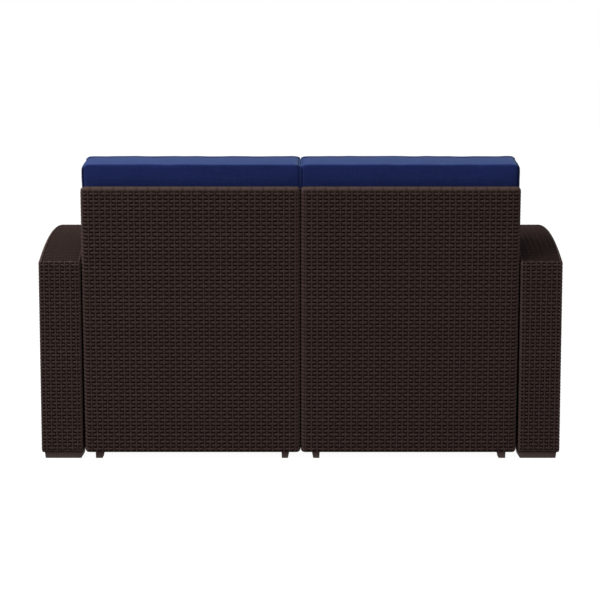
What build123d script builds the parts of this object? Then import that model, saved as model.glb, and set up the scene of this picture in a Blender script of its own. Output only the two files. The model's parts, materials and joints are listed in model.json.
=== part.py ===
from build123d import *
import math
import os

# Two-seat garden sofa in moulded resin "wicker": two hollow arms, two hollow
# back modules, two front aprons, two seat decks on side rails and a centre
# beam, four loose boxed cushions with zipped covers.
#
# Frame: millimetres, +Z up, origin on the floor below the middle of the
# bounding box. The seat faces -Y. The sitter's left is +X.

# ---------------------------------------------------------------- dimensions
WIDTH = 1400.0            # over the arms
DEPTH = 720.0             # front to rear of the arms
ARM_WIDTH = 113.0         # thickness of one arm, side to side
ARM_END_Z = 535.0         # height of the arm's top at its front and rear ends
ARM_PEAK_Z = 604.0        # height of the arm's top in the middle of its arc
ARM_BASE_Z = 16.0         # underside of the arm moulding
ARM_END_R = 8.0           # rounding where the arm's top meets its end faces
ARM_BOTTOM_R = 8.0
ARM_EDGE_R = 7.0          # rounding of the arm's long edges
WALL = 4.0                # wall of every moulding
RIB = 3.0                 # thickness of stiffening ribs
ARM_LIP = 7.5             # rim left around the arm's open inner side

MODULE_BASE_Z = 16.5      # underside of back modules and aprons
MODULE_IN_X = 1.25        # inner side of a module; the pair leaves a 2.5 gap
MODULE_TOP_X = 585.5      # outer side of a back module at its top
MODULE_BOTTOM_X = 581.0   # and at its bottom: the side has a slight draft
BACK_TOP_Z = 733.0
BACK_TOP_DEPTH = 39.4     # front to rear at the top of a back module
RECLINE = 10.0            # degrees, lean of the back module's front face
BACK_KNEE_Z = 262.0       # below this height the front of the module is upright
BACK_EDGE_R = 8.0

APRON_FRONT_Y = -342.0
APRON_DEPTH = 30.0
DECK_TOP_Z = 300.0
LEDGE_Z = 270.0           # top of every ledge that carries the decks
LEDGE_T = 4.0

FOOT_H = 16.0
PEG_H = 16.5

BEAM_HALF = 25.0
RAIL_T = 5.0

SEAT_CUSHION_TOP = 418.0
SEAT_CUSHION_GAP = 0.4
SEAT_CUSHION_FRONT = -352.0
SEAT_CUSHION_REAR = 234.0
BACK_CUSHION_T = 112.0
BACK_CUSHION_SEAM_Z = 795.0   # top rear edge of the back cushion
CUSHION_IN_X = 1.6
CUSHION_OUT_X = 584.8
CUSHION_R = 12.0
FABRIC = 1.5

ZIP_LEN = 500.0
ZIP_GROOVE_W = 36.0
ZIP_GROOVE_D = 6.0
ZIP_TAPE_W = 30.0
ZIP_TAPE_T = 1.0
ZIP_BEAD_W = 5.0
ZIP_BEAD_H = 2.2

BOLT_D = 6.0
SCREW_D = 4.5

# ------------------------------------------------------------------- derived
XO = WIDTH / 2
XI = XO - ARM_WIDTH
YR = DEPTH / 2
A = math.radians(RECLINE)
TAN, COS, SIN = math.tan(A), math.cos(A), math.sin(A)


def back_face_y(z):
    """Y of the reclined front face of a back module at height z."""
    return YR - BACK_TOP_DEPTH - (BACK_TOP_Z - z) * TAN


BACK_FOOT_Y = back_face_y(BACK_KNEE_Z)


def box(x0, x1, y0, y1, z0, z1):
    return Pos((x0 + x1) / 2, (y0 + y1) / 2, (z0 + z1) / 2) * Box(
        abs(x1 - x0), abs(y1 - y0), abs(z1 - z0)
    )


def rod_x(x0, x1, y, z, d):
    return Pos((x0 + x1) / 2, y, z) * Rot(0, 90, 0) * Cylinder(d / 2, abs(x1 - x0))


def rod_z(x, y, z0, z1, d):
    return Pos(x, y, (z0 + z1) / 2) * Cylinder(d / 2, abs(z1 - z0))


def slab_x(face_yz, x0, x1):
    """Extrude a face drawn on the YZ plane from x0 to x1."""
    return extrude(Pos(x0, 0, 0) * face_yz, amount=x1 - x0, dir=(1, 0, 0))


def slab_y(face_xz, y0, y1):
    """Extrude a face drawn on the XZ plane (made at Y = 0) from y0 to y1."""
    return extrude(Pos(0, y0, 0) * face_xz, amount=y1 - y0, dir=(0, 1, 0))


def polygon_yz(points):
    return make_face(Polyline([(0, y, z) for y, z in points], close=True))


def polygon_xz(points):
    return make_face(Polyline([(x, 0, z) for x, z in points], close=True))


def near(v, a, tol=1e-3):
    return abs(v - a) < tol


# ---------------------------------------------------------------------- arms
def arm_outline():
    a = Vector(0, -YR, ARM_BASE_Z)
    b = Vector(0, YR, ARM_BASE_Z)
    c = Vector(0, YR, ARM_END_Z)
    d = Vector(0, -YR, ARM_END_Z)
    wire = Wire(
        [
            Line(a, b),
            Line(b, c),
            ThreePointArc(c, (0, 0, ARM_PEAK_Z), d),
            Line(d, a),
        ]
    )
    face = make_face(wire)
    top = [v for v in face.vertices() if v.Z > 100]
    face = fillet(top, ARM_END_R)
    low = [v for v in face.vertices() if v.Z < 100]
    return fillet(low, ARM_BOTTOM_R)


def inset(face, amount):
    return offset(face, amount=-amount)


ARM_FACE = arm_outline()
RIB_Y = (-180.0, 0.0, 180.0)
FOOT_Y = {"front": (-352.0, -282.0), "rear": (282.0, 352.0)}
BOLT_Z = (80.0, 215.0)
BOLT_Y = {"front": APRON_FRONT_Y + 15.0, "rear": 300.0}
RAIL_SCREW_Y = (-240.0, -40.0, 160.0)
RAIL_SCREW_Z = 252.0


def arm_outer_shell():
    body = slab_x(ARM_FACE, XI, XO)
    rim = [
        e
        for e in body.edges()
        if near(e.center().X, XO) or near(e.center().X, XI)
    ]
    body = fillet(rim, ARM_EDGE_R)
    body -= slab_x(inset(ARM_FACE, WALL), XI + WALL, XO - WALL)
    body -= slab_x(inset(ARM_FACE, ARM_LIP), XI - 5, XI + WALL + 0.5)
    hollow = slab_x(inset(ARM_FACE, WALL - 0.5), XI + 14, XO - WALL + 0.5)
    # upright ribs and one level rib stiffen the outer wall
    ribs = Part()
    for y in RIB_Y:
        ribs += box(XI + 16, XO - 2, y - RIB / 2, y + RIB / 2, 0, 700)
    ribs += box(XI + 60, XO - 2, -YR, YR, 300, 300 + RIB)
    body += ribs & hollow
    # sockets for the plugs of the feet
    for y0, y1 in FOOT_Y.values():
        for x in (XI + 32, XO - 34):
            body -= rod_z(x, (y0 + y1) / 2, ARM_BASE_Z - 1, ARM_BASE_Z + WALL + 1, 14.0)
    return body


def arm_inner_panel():
    body = slab_x(inset(ARM_FACE, ARM_LIP), XI, XI + WALL)
    ring = slab_x(inset(ARM_FACE, ARM_LIP + 4), XI + WALL, XI + 13)
    ring -= slab_x(inset(ARM_FACE, ARM_LIP + 4 + RIB), XI + WALL - 1, XI + 14)
    body += ring
    # bosses for the rail screws, clearance holes for the frame bolts
    for y in RAIL_SCREW_Y:
        body += rod_x(XI + WALL, XI + 14, y, RAIL_SCREW_Z, 11.0)
    for y in RAIL_SCREW_Y:
        body -= rod_x(XI - 1, XI + 15, y, RAIL_SCREW_Z, SCREW_D)
    for y in BOLT_Y.values():
        for z in BOLT_Z:
            body -= rod_x(XI - 1, XI + WALL + 1, y, z, BOLT_D)
    return body


def arm_foot(which):
    """Foot pad under the arm, narrower than the arm, sides drawn in."""
    y0, y1 = FOOT_Y[which]
    pad = polygon_xz(
        [(XI + 2.4, FOOT_H), (XI + 5.5, 0), (XO - 10.5, 0), (XO - 8.4, FOOT_H)]
    )
    body = slab_y(pad, y0, y1)
    low = [e for e in body.edges() if near(e.center().Z, 0)]
    body = chamfer(low, 1.5)
    for x in (XI + 32, XO - 34):
        body += rod_z(x, (y0 + y1) / 2, FOOT_H - 1, FOOT_H + 14, 13.8)
    return body


def arm_seat_rail():
    """L-section rail screwed to the arm; its flat leg carries the deck."""
    y0, y1 = -296.0, 221.0
    body = box(XI - RAIL_T, XI, y0, y1, LEDGE_Z - 36, LEDGE_Z)
    body += box(XI - 27, XI - RAIL_T + 1, y0, y1, LEDGE_Z - RAIL_T, LEDGE_Z)
    for y in (-140.0, 60.0):
        gusset = polygon_xz(
            [
                (XI - 25, LEDGE_Z - RAIL_T + 0.5),
                (XI - RAIL_T + 0.5, LEDGE_Z - RAIL_T + 0.5),
                (XI - RAIL_T + 0.5, LEDGE_Z - 34),
            ]
        )
        body += slab_y(gusset, y - 2, y + 2)
    for y in RAIL_SCREW_Y:
        body -= rod_x(XI - RAIL_T - 1, XI + 1, y, RAIL_SCREW_Z, SCREW_D)
    for y in DECK_SCREW_Y:
        body -= rod_z(XI - 16, y, LEDGE_Z - RAIL_T - 1, LEDGE_Z + 1, SCREW_D)
    return body


# -------------------------------------------------------------- back modules
def module_outline(top_z, x_top, x_bottom, r_top_out, r_top_in, r_low):
    pts = [
        (MODULE_IN_X, MODULE_BASE_Z),
        (x_bottom, MODULE_BASE_Z),
        (x_top, top_z),
        (MODULE_IN_X, top_z),
    ]
    face = polygon_xz(pts)
    face = fillet([v for v in face.vertices() if v.Z > 100 and v.X > 100], r_top_out)
    face = fillet(
        [v for v in face.vertices() if near(v.Z, top_z) and near(v.X, MODULE_IN_X)],
        r_top_in,
    )
    return fillet([v for v in face.vertices() if near(v.Z, MODULE_BASE_Z)], r_low)


BACK_FACE = module_outline(BACK_TOP_Z, MODULE_TOP_X, MODULE_BOTTOM_X, 12.0, 6.0, 6.0)
PEG_X = {"outer": (532.0, 554.0), "inner": (30.7, 51.5)}
DECK_SCREW_Y = (-190.0, 120.0)


def back_wedge(front_shift=0.0):
    """Side profile of a back module: upright rear, reclined front."""
    return polygon_yz(
        [
            (YR + 5, 0),
            (YR + 5, BACK_TOP_Z + 5),
            (back_face_y(BACK_TOP_Z + 5) + front_shift, BACK_TOP_Z + 5),
            (BACK_FOOT_Y + front_shift, BACK_KNEE_Z),
            (BACK_FOOT_Y + front_shift, 0),
        ]
    )


def side_wall_x(z):
    t = (z - MODULE_BASE_Z) / (BACK_TOP_Z - MODULE_BASE_Z)
    return MODULE_BOTTOM_X + (MODULE_TOP_X - MODULE_BOTTOM_X) * t


def back_rear_shell():
    body = slab_y(BACK_FACE, 200, YR)
    rear = [e for e in body.edges() if near(e.center().Y, YR)]
    body = fillet(rear, BACK_EDGE_R)
    body = body & slab_x(back_wedge(), -5, XO)
    cavity = slab_y(inset(BACK_FACE, WALL), 190, YR - WALL)
    body -= cavity
    # grid of ribs behind the woven wall
    grid = Part()
    for x in (148.0, 293.0, 438.0):
        grid += box(x - RIB / 2, x + RIB / 2, YR - 22, YR - WALL + 1, 0, 800)
    for z in (180.0, 360.0, 540.0):
        grid += box(-5, XO, YR - 18, YR - WALL + 1, z - RIB / 2, z + RIB / 2)
    room = slab_y(inset(BACK_FACE, WALL - 1), 190, YR - WALL + 1)
    body += grid & room
    # sockets for the pegs
    for x0, x1 in PEG_X.values():
        xm = (x0 + x1) / 2
        body -= box(xm - 6, xm + 6, 328, 346, MODULE_BASE_Z - 1, MODULE_BASE_Z + WALL + 1)
    for z in BOLT_Z:
        body -= rod_x(-1, 8, BOLT_Y["rear"], z, BOLT_D)
        body -= rod_x(570, 590, BOLT_Y["rear"], z, BOLT_D)
    return body


def back_front_panel():
    """Reclined inner panel with a level flange that carries the deck."""
    inside = inset(BACK_FACE, WALL)
    slab = slab_x(back_wedge(), -5, XO) - slab_x(back_wedge(WALL), -6, XO + 1)
    slab = slab & box(-5, XO, 0, YR, BACK_KNEE_Z, 900)
    body = slab & slab_y(inside, 190, YR - WALL)
    # level beads across the panel's hidden side
    for z in (330.0, 430.0, 530.0, 630.0):
        y = back_face_y(z)
        bead = box(-5, XO, y + WALL / 2, y + WALL + 10, z - RIB / 2, z + RIB / 2)
        body += bead & slab_y(inside, 190, YR - WALL)
    flange = box(
        MODULE_IN_X + WALL + 1, MODULE_BOTTOM_X - WALL - 1,
        BACK_FOOT_Y - 15, BACK_FOOT_Y + WALL, LEDGE_Z - LEDGE_T, LEDGE_Z,
    )
    return body + flange


def peg(x0, x1, y0, y1):
    """Short peg under a module: one side upright, the other drawn in."""
    pts = [(x0, PEG_H), (x0 + 3.5, 0), (x1 - 0.5, 0), (x1, PEG_H)]
    body = slab_y(polygon_xz(pts), y0, y1)
    low = [e for e in body.edges() if near(e.center().Z, 0)]
    body = chamfer(low, 1.0)
    xm, ym = (x0 + x1) / 2, (y0 + y1) / 2
    return body + box(xm - 5.9, xm + 5.9, ym - 8.9, ym + 8.9, PEG_H - 1, PEG_H + 18)


# -------------------------------------------------------------------- aprons
APRON_FACE = module_outline(DECK_TOP_Z, MODULE_TOP_X, MODULE_TOP_X, 6.0, 6.0, 6.0)
APRON_REAR_Y = APRON_FRONT_Y + APRON_DEPTH


def front_apron():
    body = slab_y(APRON_FACE, APRON_FRONT_Y, APRON_REAR_Y)
    front = [e for e in body.edges() if near(e.center().Y, APRON_FRONT_Y)]
    body = fillet(front, 5.0)
    body -= slab_y(inset(APRON_FACE, WALL), APRON_FRONT_Y + WALL, APRON_REAR_Y + 1)
    room = slab_y(inset(APRON_FACE, WALL - 1), APRON_FRONT_Y + WALL - 1, APRON_REAR_Y)
    ribs = Part()
    for x in (148.0, 293.0, 438.0):
        ribs += box(x - RIB / 2, x + RIB / 2, APRON_FRONT_Y + 2, APRON_REAR_Y - 6, 0, 400)
    ribs += box(0, XO, APRON_FRONT_Y + 2, APRON_REAR_Y - 6, 120 - RIB / 2, 120 + RIB / 2)
    body += ribs & room
    # ledge for the front edge of the deck
    body += box(
        MODULE_IN_X + 1, MODULE_TOP_X - 1,
        APRON_FRONT_Y + 2, APRON_REAR_Y + 14, LEDGE_Z - LEDGE_T, LEDGE_Z,
    )
    for x0, x1 in PEG_X.values():
        xm = (x0 + x1) / 2
        body -= box(
            xm - 6, xm + 6, APRON_FRONT_Y + 7, APRON_FRONT_Y + 25,
            MODULE_BASE_Z - 1, MODULE_BASE_Z + WALL + 1,
        )
    for z in BOLT_Z:
        body -= rod_x(-1, 8, BOLT_Y["front"], z, BOLT_D)
        body -= rod_x(576, 590, BOLT_Y["front"], z, BOLT_D)
    return body


# --------------------------------------------------------------------- decks
DECK_X0, DECK_X1 = 4.0, 584.0
DECK_Y0 = APRON_REAR_Y + 0.5
DECK_Y1 = back_face_y(LEDGE_Z) - 1.0


def seat_deck():
    body = box(DECK_X0, DECK_X1, DECK_Y0, DECK_Y1, LEDGE_Z, DECK_TOP_Z)
    upright = [
        e for e in body.edges()
        if near(e.center().Z, (LEDGE_Z + DECK_TOP_Z) / 2)
    ]
    body = fillet(upright, 6.0)
    inner = box(
        DECK_X0 + WALL, DECK_X1 - WALL, DECK_Y0 + WALL, DECK_Y1 - WALL,
        LEDGE_Z - 1, DECK_TOP_Z - WALL,
    )
    body -= inner
    # rib grid below the plate
    for i in range(1, 5):
        x = DECK_X0 + (DECK_X1 - DECK_X0) * i / 5
        body += box(x - RIB / 2, x + RIB / 2, DECK_Y0 + 2, DECK_Y1 - 2,
                    DECK_TOP_Z - 22, DECK_TOP_Z - 2)
    for i in range(1, 5):
        y = DECK_Y0 + (DECK_Y1 - DECK_Y0) * i / 5
        body += box(DECK_X0 + 2, DECK_X1 - 2, y - RIB / 2, y + RIB / 2,
                    DECK_TOP_Z - 22, DECK_TOP_Z - 2)
    # drain slots
    for ix in range(5):
        for iy in range(5):
            x = DECK_X0 + (DECK_X1 - DECK_X0) * (ix + 0.5) / 5
            y = DECK_Y0 + (DECK_Y1 - DECK_Y0) * (iy + 0.5) / 5
            slot = Pos(x, y, DECK_TOP_Z - 2) * extrude(
                SlotOverall(56, 9), amount=4, both=True
            )
            body -= slot
    # screw bosses down to the rail and the beam
    for x in (DECK_X1 - 13, 15.0):
        for y in DECK_SCREW_Y:
            body += rod_z(x, y, LEDGE_Z, DECK_TOP_Z - 1, 12.0)
            body -= rod_z(x, y, LEDGE_Z - 1, DECK_TOP_Z + 1, SCREW_D)
            body -= rod_z(x, y, DECK_TOP_Z - 3.2, DECK_TOP_Z + 1, 9.4)
    # notches over the ends of the centre beam
    for y0, y1 in ((DECK_Y0 - 2, -286.0), (210.0, DECK_Y1 + 2)):
        body -= box(-5, BEAM_HALF + 1.5, y0, y1, LEDGE_Z - 1, LEDGE_Z + 6)
    return body


def centre_beam():
    """I-section beam between the decks, hooked over the ledges at its ends."""
    y0, y1 = -296.0, 221.0
    body = box(-BEAM_HALF, BEAM_HALF, y0, y1, LEDGE_Z - 5, LEDGE_Z)
    body += box(-3, 3, y0, y1, LEDGE_Z - 68, LEDGE_Z - 4)
    body += box(-18, 18, y0, y1, LEDGE_Z - 70, LEDGE_Z - 65)
    for y in (-295.9, -180.0, -60.0, 60.0, 180.0 - 2, 221.0 - 3.1):
        body += box(-18, 18, y, y + RIB, LEDGE_Z - 67, LEDGE_Z - 3)
    # hooks
    body += box(-BEAM_HALF, BEAM_HALF, y0 - 12, y0 + 6, LEDGE_Z, LEDGE_Z + 5)
    body += box(-BEAM_HALF, BEAM_HALF, y1 - 6, y1 + 12, LEDGE_Z, LEDGE_Z + 5)
    for x in (15.0, -15.0):
        for y in DECK_SCREW_Y:
            body -= rod_z(x, y, LEDGE_Z - 6, LEDGE_Z + 1, SCREW_D)
    return body


# ----------------------------------------------------------------- fasteners
def hex_prism_x(x0, x1, y, z, af):
    face = RegularPolygon(af / 2, 6, major_radius=False)
    return Pos(x0, y, z) * Rot(0, 90, 0) * extrude(face, amount=x1 - x0)


def frame_bolt(x_head, x_end, y, z):
    """Flanged bolt lying along X; the head is at x_head."""
    s = 1 if x_end > x_head else -1
    body = rod_x(x_head - 2 * s, x_head, y, z, 13.0)
    lo, hi = sorted((x_head - 6 * s, x_head - 1.9 * s))
    body += hex_prism_x(lo, hi, y, z, 10.0)
    body += rod_x(x_head - 0.5 * s, x_end, y, z, BOLT_D)
    return body


def frame_nut(x0, x1, y, z):
    return hex_prism_x(x0, x1, y, z, 10.0) - rod_x(x0 - 1, x1 + 1, y, z, BOLT_D)


def bolts_and_nuts():
    bolts, nuts = [], []
    for s in (1, -1):
        for z in BOLT_Z:
            xb = side_wall_x(z) - WALL - 0.06
            for key, xw in (("front", MODULE_TOP_X - WALL), ("rear", xb)):
                y = BOLT_Y[key]
                b = frame_bolt(xw, XI + 12, y, z)
                n = frame_nut(XI + WALL, XI + WALL + 5, y, z)
                bolts.append(b if s > 0 else mirror(b, about=Plane.YZ))
                nuts.append(n if s > 0 else mirror(n, about=Plane.YZ))
    for key in ("front", "rear"):
        for z in BOLT_Z:
            w = MODULE_IN_X + WALL
            bolts.append(frame_bolt(w, -w - 9, BOLT_Y[key], z))
            nuts.append(frame_nut(-w - 5, -w, BOLT_Y[key], z))
    return bolts, nuts


def deck_screw(x, y):
    body = rod_z(x, y, LEDGE_Z - 12, DECK_TOP_Z - 3, SCREW_D)
    body += rod_z(x, y, DECK_TOP_Z - 3.2, DECK_TOP_Z - 0.6, 9.2)
    cross = box(x - 2.4, x + 2.4, y - 0.5, y + 0.5, DECK_TOP_Z - 2.2, DECK_TOP_Z)
    cross += box(x - 0.5, x + 0.5, y - 2.4, y + 2.4, DECK_TOP_Z - 2.2, DECK_TOP_Z)
    return body - cross


def rail_screw(y):
    body = rod_x(XI - RAIL_T, XI + 13, y, RAIL_SCREW_Z, SCREW_D)
    body += rod_x(XI - RAIL_T - 3, XI - RAIL_T, y, RAIL_SCREW_Z, 9.2)
    x = XI - RAIL_T - 3
    cross = box(x - 0.1, x + 1.6, y - 2.4, y + 2.4, RAIL_SCREW_Z - 0.5, RAIL_SCREW_Z + 0.5)
    cross += box(x - 0.1, x + 1.6, y - 0.5, y + 0.5, RAIL_SCREW_Z - 2.4, RAIL_SCREW_Z + 2.4)
    return body - cross


# ------------------------------------------------------------------ cushions
ZIP_X0 = (CUSHION_IN_X + CUSHION_OUT_X - ZIP_LEN) / 2
ZIP_X1 = ZIP_X0 + ZIP_LEN
SEAT_ZIP_Z = (DECK_TOP_Z + SEAT_CUSHION_TOP) / 2


def cushion_solid(profile_points, x0, x1, r):
    body = slab_x(polygon_yz(profile_points), x0, x1)
    return fillet(body.edges(), r)


def seat_cushion_profile(t=0.0):
    z0, z1 = DECK_TOP_Z + SEAT_CUSHION_GAP + t, SEAT_CUSHION_TOP - t
    y0, y1 = SEAT_CUSHION_FRONT + t, SEAT_CUSHION_REAR - t
    return [(y0, z0), (y1, z0), (y1, z1), (y0, z1)]


BACK_CUSHION_BOTTOM = SEAT_CUSHION_TOP + 0.5


def back_cushion_rear_y(z):
    return back_face_y(z) - 1.2 / COS


def back_cushion_profile(t=0.0):
    zt = BACK_CUSHION_SEAM_Z
    rt = (back_cushion_rear_y(zt), zt)
    # move the rear top corner inward by t along both directions
    rt = (rt[0] - t * COS - t * SIN, rt[1] + t * SIN - t * COS)
    th = BACK_CUSHION_T - 2 * t
    ft = (rt[0] - th * COS, rt[1] + th * SIN)
    zb = BACK_CUSHION_BOTTOM + t
    fb = (ft[0] - (ft[1] - zb) * TAN, zb)
    rb = (rt[0] - (rt[1] - zb) * TAN, zb)
    return [rb, rt, ft, fb]


def cushion_parts(profile, groove, deep_groove):
    outer = cushion_solid(profile(0.0), CUSHION_IN_X, CUSHION_OUT_X, CUSHION_R)
    core = cushion_solid(
        profile(FABRIC), CUSHION_IN_X + FABRIC, CUSHION_OUT_X - FABRIC,
        CUSHION_R - FABRIC,
    )
    core -= deep_groove
    cover = outer - groove - core
    return cover, core


def seat_cushion():
    y, w = SEAT_CUSHION_REAR, ZIP_GROOVE_W / 2
    z = SEAT_ZIP_Z
    groove = box(ZIP_X0, ZIP_X1, y - ZIP_GROOVE_D, y + 5, z - w, z + w)
    deep = box(
        ZIP_X0 - FABRIC, ZIP_X1 + FABRIC, y - ZIP_GROOVE_D - FABRIC, y + 5,
        z - w - FABRIC, z + w + FABRIC,
    )
    return cushion_parts(seat_cushion_profile, groove, deep)


BACK_ZIP_Y = (back_cushion_profile()[0][0] + back_cushion_profile()[3][0]) / 2


def back_cushion():
    z, w = BACK_CUSHION_BOTTOM, ZIP_GROOVE_W / 2
    y = BACK_ZIP_Y
    groove = box(ZIP_X0, ZIP_X1, y - w, y + w, z - 5, z + ZIP_GROOVE_D)
    deep = box(
        ZIP_X0 - FABRIC, ZIP_X1 + FABRIC, y - w - FABRIC, y + w + FABRIC,
        z - 5, z + ZIP_GROOVE_D + FABRIC,
    )
    return cushion_parts(back_cushion_profile, groove, deep)


def zip_tape_flat():
    """Closed zip lying in the XY plane at Z = 0, facing +Z."""
    tape = box(ZIP_X0 + 1, ZIP_X1 - 1, -ZIP_TAPE_W / 2, ZIP_TAPE_W / 2, 0, ZIP_TAPE_T)
    bead = box(ZIP_X0 + 4, ZIP_X1 - 4, -ZIP_BEAD_W / 2, ZIP_BEAD_W / 2,
               ZIP_TAPE_T - 0.5, ZIP_TAPE_T + ZIP_BEAD_H)
    stops = box(ZIP_X0 + 2, ZIP_X0 + 6, -4, 4, ZIP_TAPE_T - 0.5, ZIP_TAPE_T + 2.8)
    stops += box(ZIP_X1 - 6, ZIP_X1 - 2, -4, 4, ZIP_TAPE_T - 0.5, ZIP_TAPE_T + 2.8)
    return tape + bead + stops


SLIDER_X = ZIP_X1 - 14.0      # closed position of the slider
SLIDER_TRAVEL = 440.0


def zip_slider_flat():
    """Slider straddling the bead, with its pull tab laid back along it."""
    x = SLIDER_X
    z0 = ZIP_TAPE_T + 0.4
    body = box(x - 6, x + 6, -5.2, 5.2, z0, ZIP_TAPE_T + 3.9)
    body = fillet([e for e in body.edges() if near(e.center().X, x)
                   and e.center().Z > z0 + 1], 1.2)
    body -= box(x - 7, x + 7, -3.0, 3.0, z0 - 1, ZIP_TAPE_T + ZIP_BEAD_H + 0.45)
    tab = box(x - 30, x - 2, -3.2, 3.2, ZIP_TAPE_T + 2.9, ZIP_TAPE_T + 4.3)
    tab = fillet([e for e in tab.edges() if near(e.length, 1.4, 1e-3)], 2.0)
    tab -= rod_z(x - 25, 0, 0, 10, 3.0)
    return body + tab


SEAT_ZIP_AT = Location(
    (0, SEAT_CUSHION_REAR - ZIP_GROOVE_D, SEAT_ZIP_Z), (-90, 0, 0)
)
BACK_ZIP_AT = Location(
    (0, BACK_ZIP_Y, BACK_CUSHION_BOTTOM + ZIP_GROOVE_D), (180, 0, 0)
)

# ------------------------------------------------------------------ assembly
nodes = {}


def add(name, shape):
    nodes[name] = shape


def pair(pattern, shape):
    """The left piece as made, the right one mirrored."""
    add(pattern.format("left"), shape)
    add(pattern.format("right"), mirror(shape, about=Plane.YZ))


pair("arm_{}_outer_shell", arm_outer_shell())
pair("arm_{}_inner_panel", arm_inner_panel())
pair("arm_{}_seat_rail", arm_seat_rail())
pair("arm_{}_front_foot", arm_foot("front"))
pair("arm_{}_rear_foot", arm_foot("rear"))

pair("back_{}_rear_shell", back_rear_shell())
pair("back_{}_front_panel", back_front_panel())
pair("front_apron_{}", front_apron())
for key, (px0, px1) in PEG_X.items():
    pair("back_{}_" + key + "_peg", peg(px0, px1, 322, 352))
    pair("front_{}_" + key + "_peg", peg(px0, px1, APRON_FRONT_Y + 3, APRON_FRONT_Y + 29))

pair("seat_deck_{}", seat_deck())
add("centre_beam", centre_beam())

bolts, nuts = bolts_and_nuts()
add("frame_bolts", Compound(children=bolts))
add("frame_nuts", Compound(children=nuts))
screws = [deck_screw(x, y) for x in (DECK_X1 - 13, 15.0) for y in DECK_SCREW_Y]
screws += [mirror(s, about=Plane.YZ) for s in list(screws)]
add("deck_screws", Compound(children=screws))
screws = [rail_screw(y) for y in RAIL_SCREW_Y]
screws += [mirror(s, about=Plane.YZ) for s in list(screws)]
add("rail_screws", Compound(children=screws))

cover, core = seat_cushion()
pair("seat_cushion_{}_cover", cover)
pair("seat_cushion_{}_core", core)
pair("seat_cushion_{}_zip", SEAT_ZIP_AT * zip_tape_flat())
pair("seat_cushion_{}_zip_slider", SEAT_ZIP_AT * zip_slider_flat())
cover, core = back_cushion()
pair("back_cushion_{}_cover", cover)
pair("back_cushion_{}_core", core)
pair("back_cushion_{}_zip", BACK_ZIP_AT * zip_tape_flat())
pair("back_cushion_{}_zip_slider", BACK_ZIP_AT * zip_slider_flat())

if __name__ == "__main__":
    os.makedirs("parts", exist_ok=True)
    for name, shape in nodes.items():
        export_step(shape, os.path.join("parts", name + ".step"))
        bb = shape.bounding_box()
        print(
            name,
            "solids", len(shape.solids()),
            "volume_cm3", round(sum(s.volume for s in shape.solids()) / 1000, 2),
            "min", [round(v, 1) for v in (bb.min.X, bb.min.Y, bb.min.Z)],
            "max", [round(v, 1) for v in (bb.max.X, bb.max.Y, bb.max.Z)],
        )
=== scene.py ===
import json
import math

import bpy
import numpy as np
from mathutils import Matrix, Vector


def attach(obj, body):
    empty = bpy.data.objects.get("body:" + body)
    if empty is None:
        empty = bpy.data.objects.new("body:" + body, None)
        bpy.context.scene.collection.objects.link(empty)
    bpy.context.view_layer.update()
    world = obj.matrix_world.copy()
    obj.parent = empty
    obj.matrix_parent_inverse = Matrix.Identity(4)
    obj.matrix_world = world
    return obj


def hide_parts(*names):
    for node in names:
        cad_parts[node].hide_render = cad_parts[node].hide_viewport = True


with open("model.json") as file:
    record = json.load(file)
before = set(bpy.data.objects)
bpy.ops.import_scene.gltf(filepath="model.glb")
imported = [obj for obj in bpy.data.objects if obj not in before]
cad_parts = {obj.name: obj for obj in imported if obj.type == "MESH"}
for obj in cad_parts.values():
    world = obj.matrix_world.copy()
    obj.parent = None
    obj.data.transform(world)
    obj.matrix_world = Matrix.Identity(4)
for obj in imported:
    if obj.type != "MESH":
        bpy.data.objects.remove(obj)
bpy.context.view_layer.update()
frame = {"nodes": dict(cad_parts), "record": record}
NODES = frame["nodes"]
SIDES = (("left", 1.0), ("right", -1.0))
scene = bpy.context.scene
rng = np.random.default_rng(20)

# Lengths below are millimetres in the frame of the CAD model, turned into
# metres when a mesh is made.
MM = 0.001

# ------------------------------------------------------------------ the camera
cam_data = bpy.data.cameras.new("camera")
cam_data.sensor_width = 36.0
cam_data.lens = 102.4
cam_data.clip_end = 60.0
cam = bpy.data.objects.new("camera", cam_data)
scene.collection.objects.link(cam)
cam.location = (0.0016, 4.886, 0.9713)
cam.rotation_euler = (math.radians(83.2), 0.0, math.radians(180.0))
scene.camera = cam
scene.view_settings.view_transform = "Standard"
scene.view_settings.look = "None"


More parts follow.
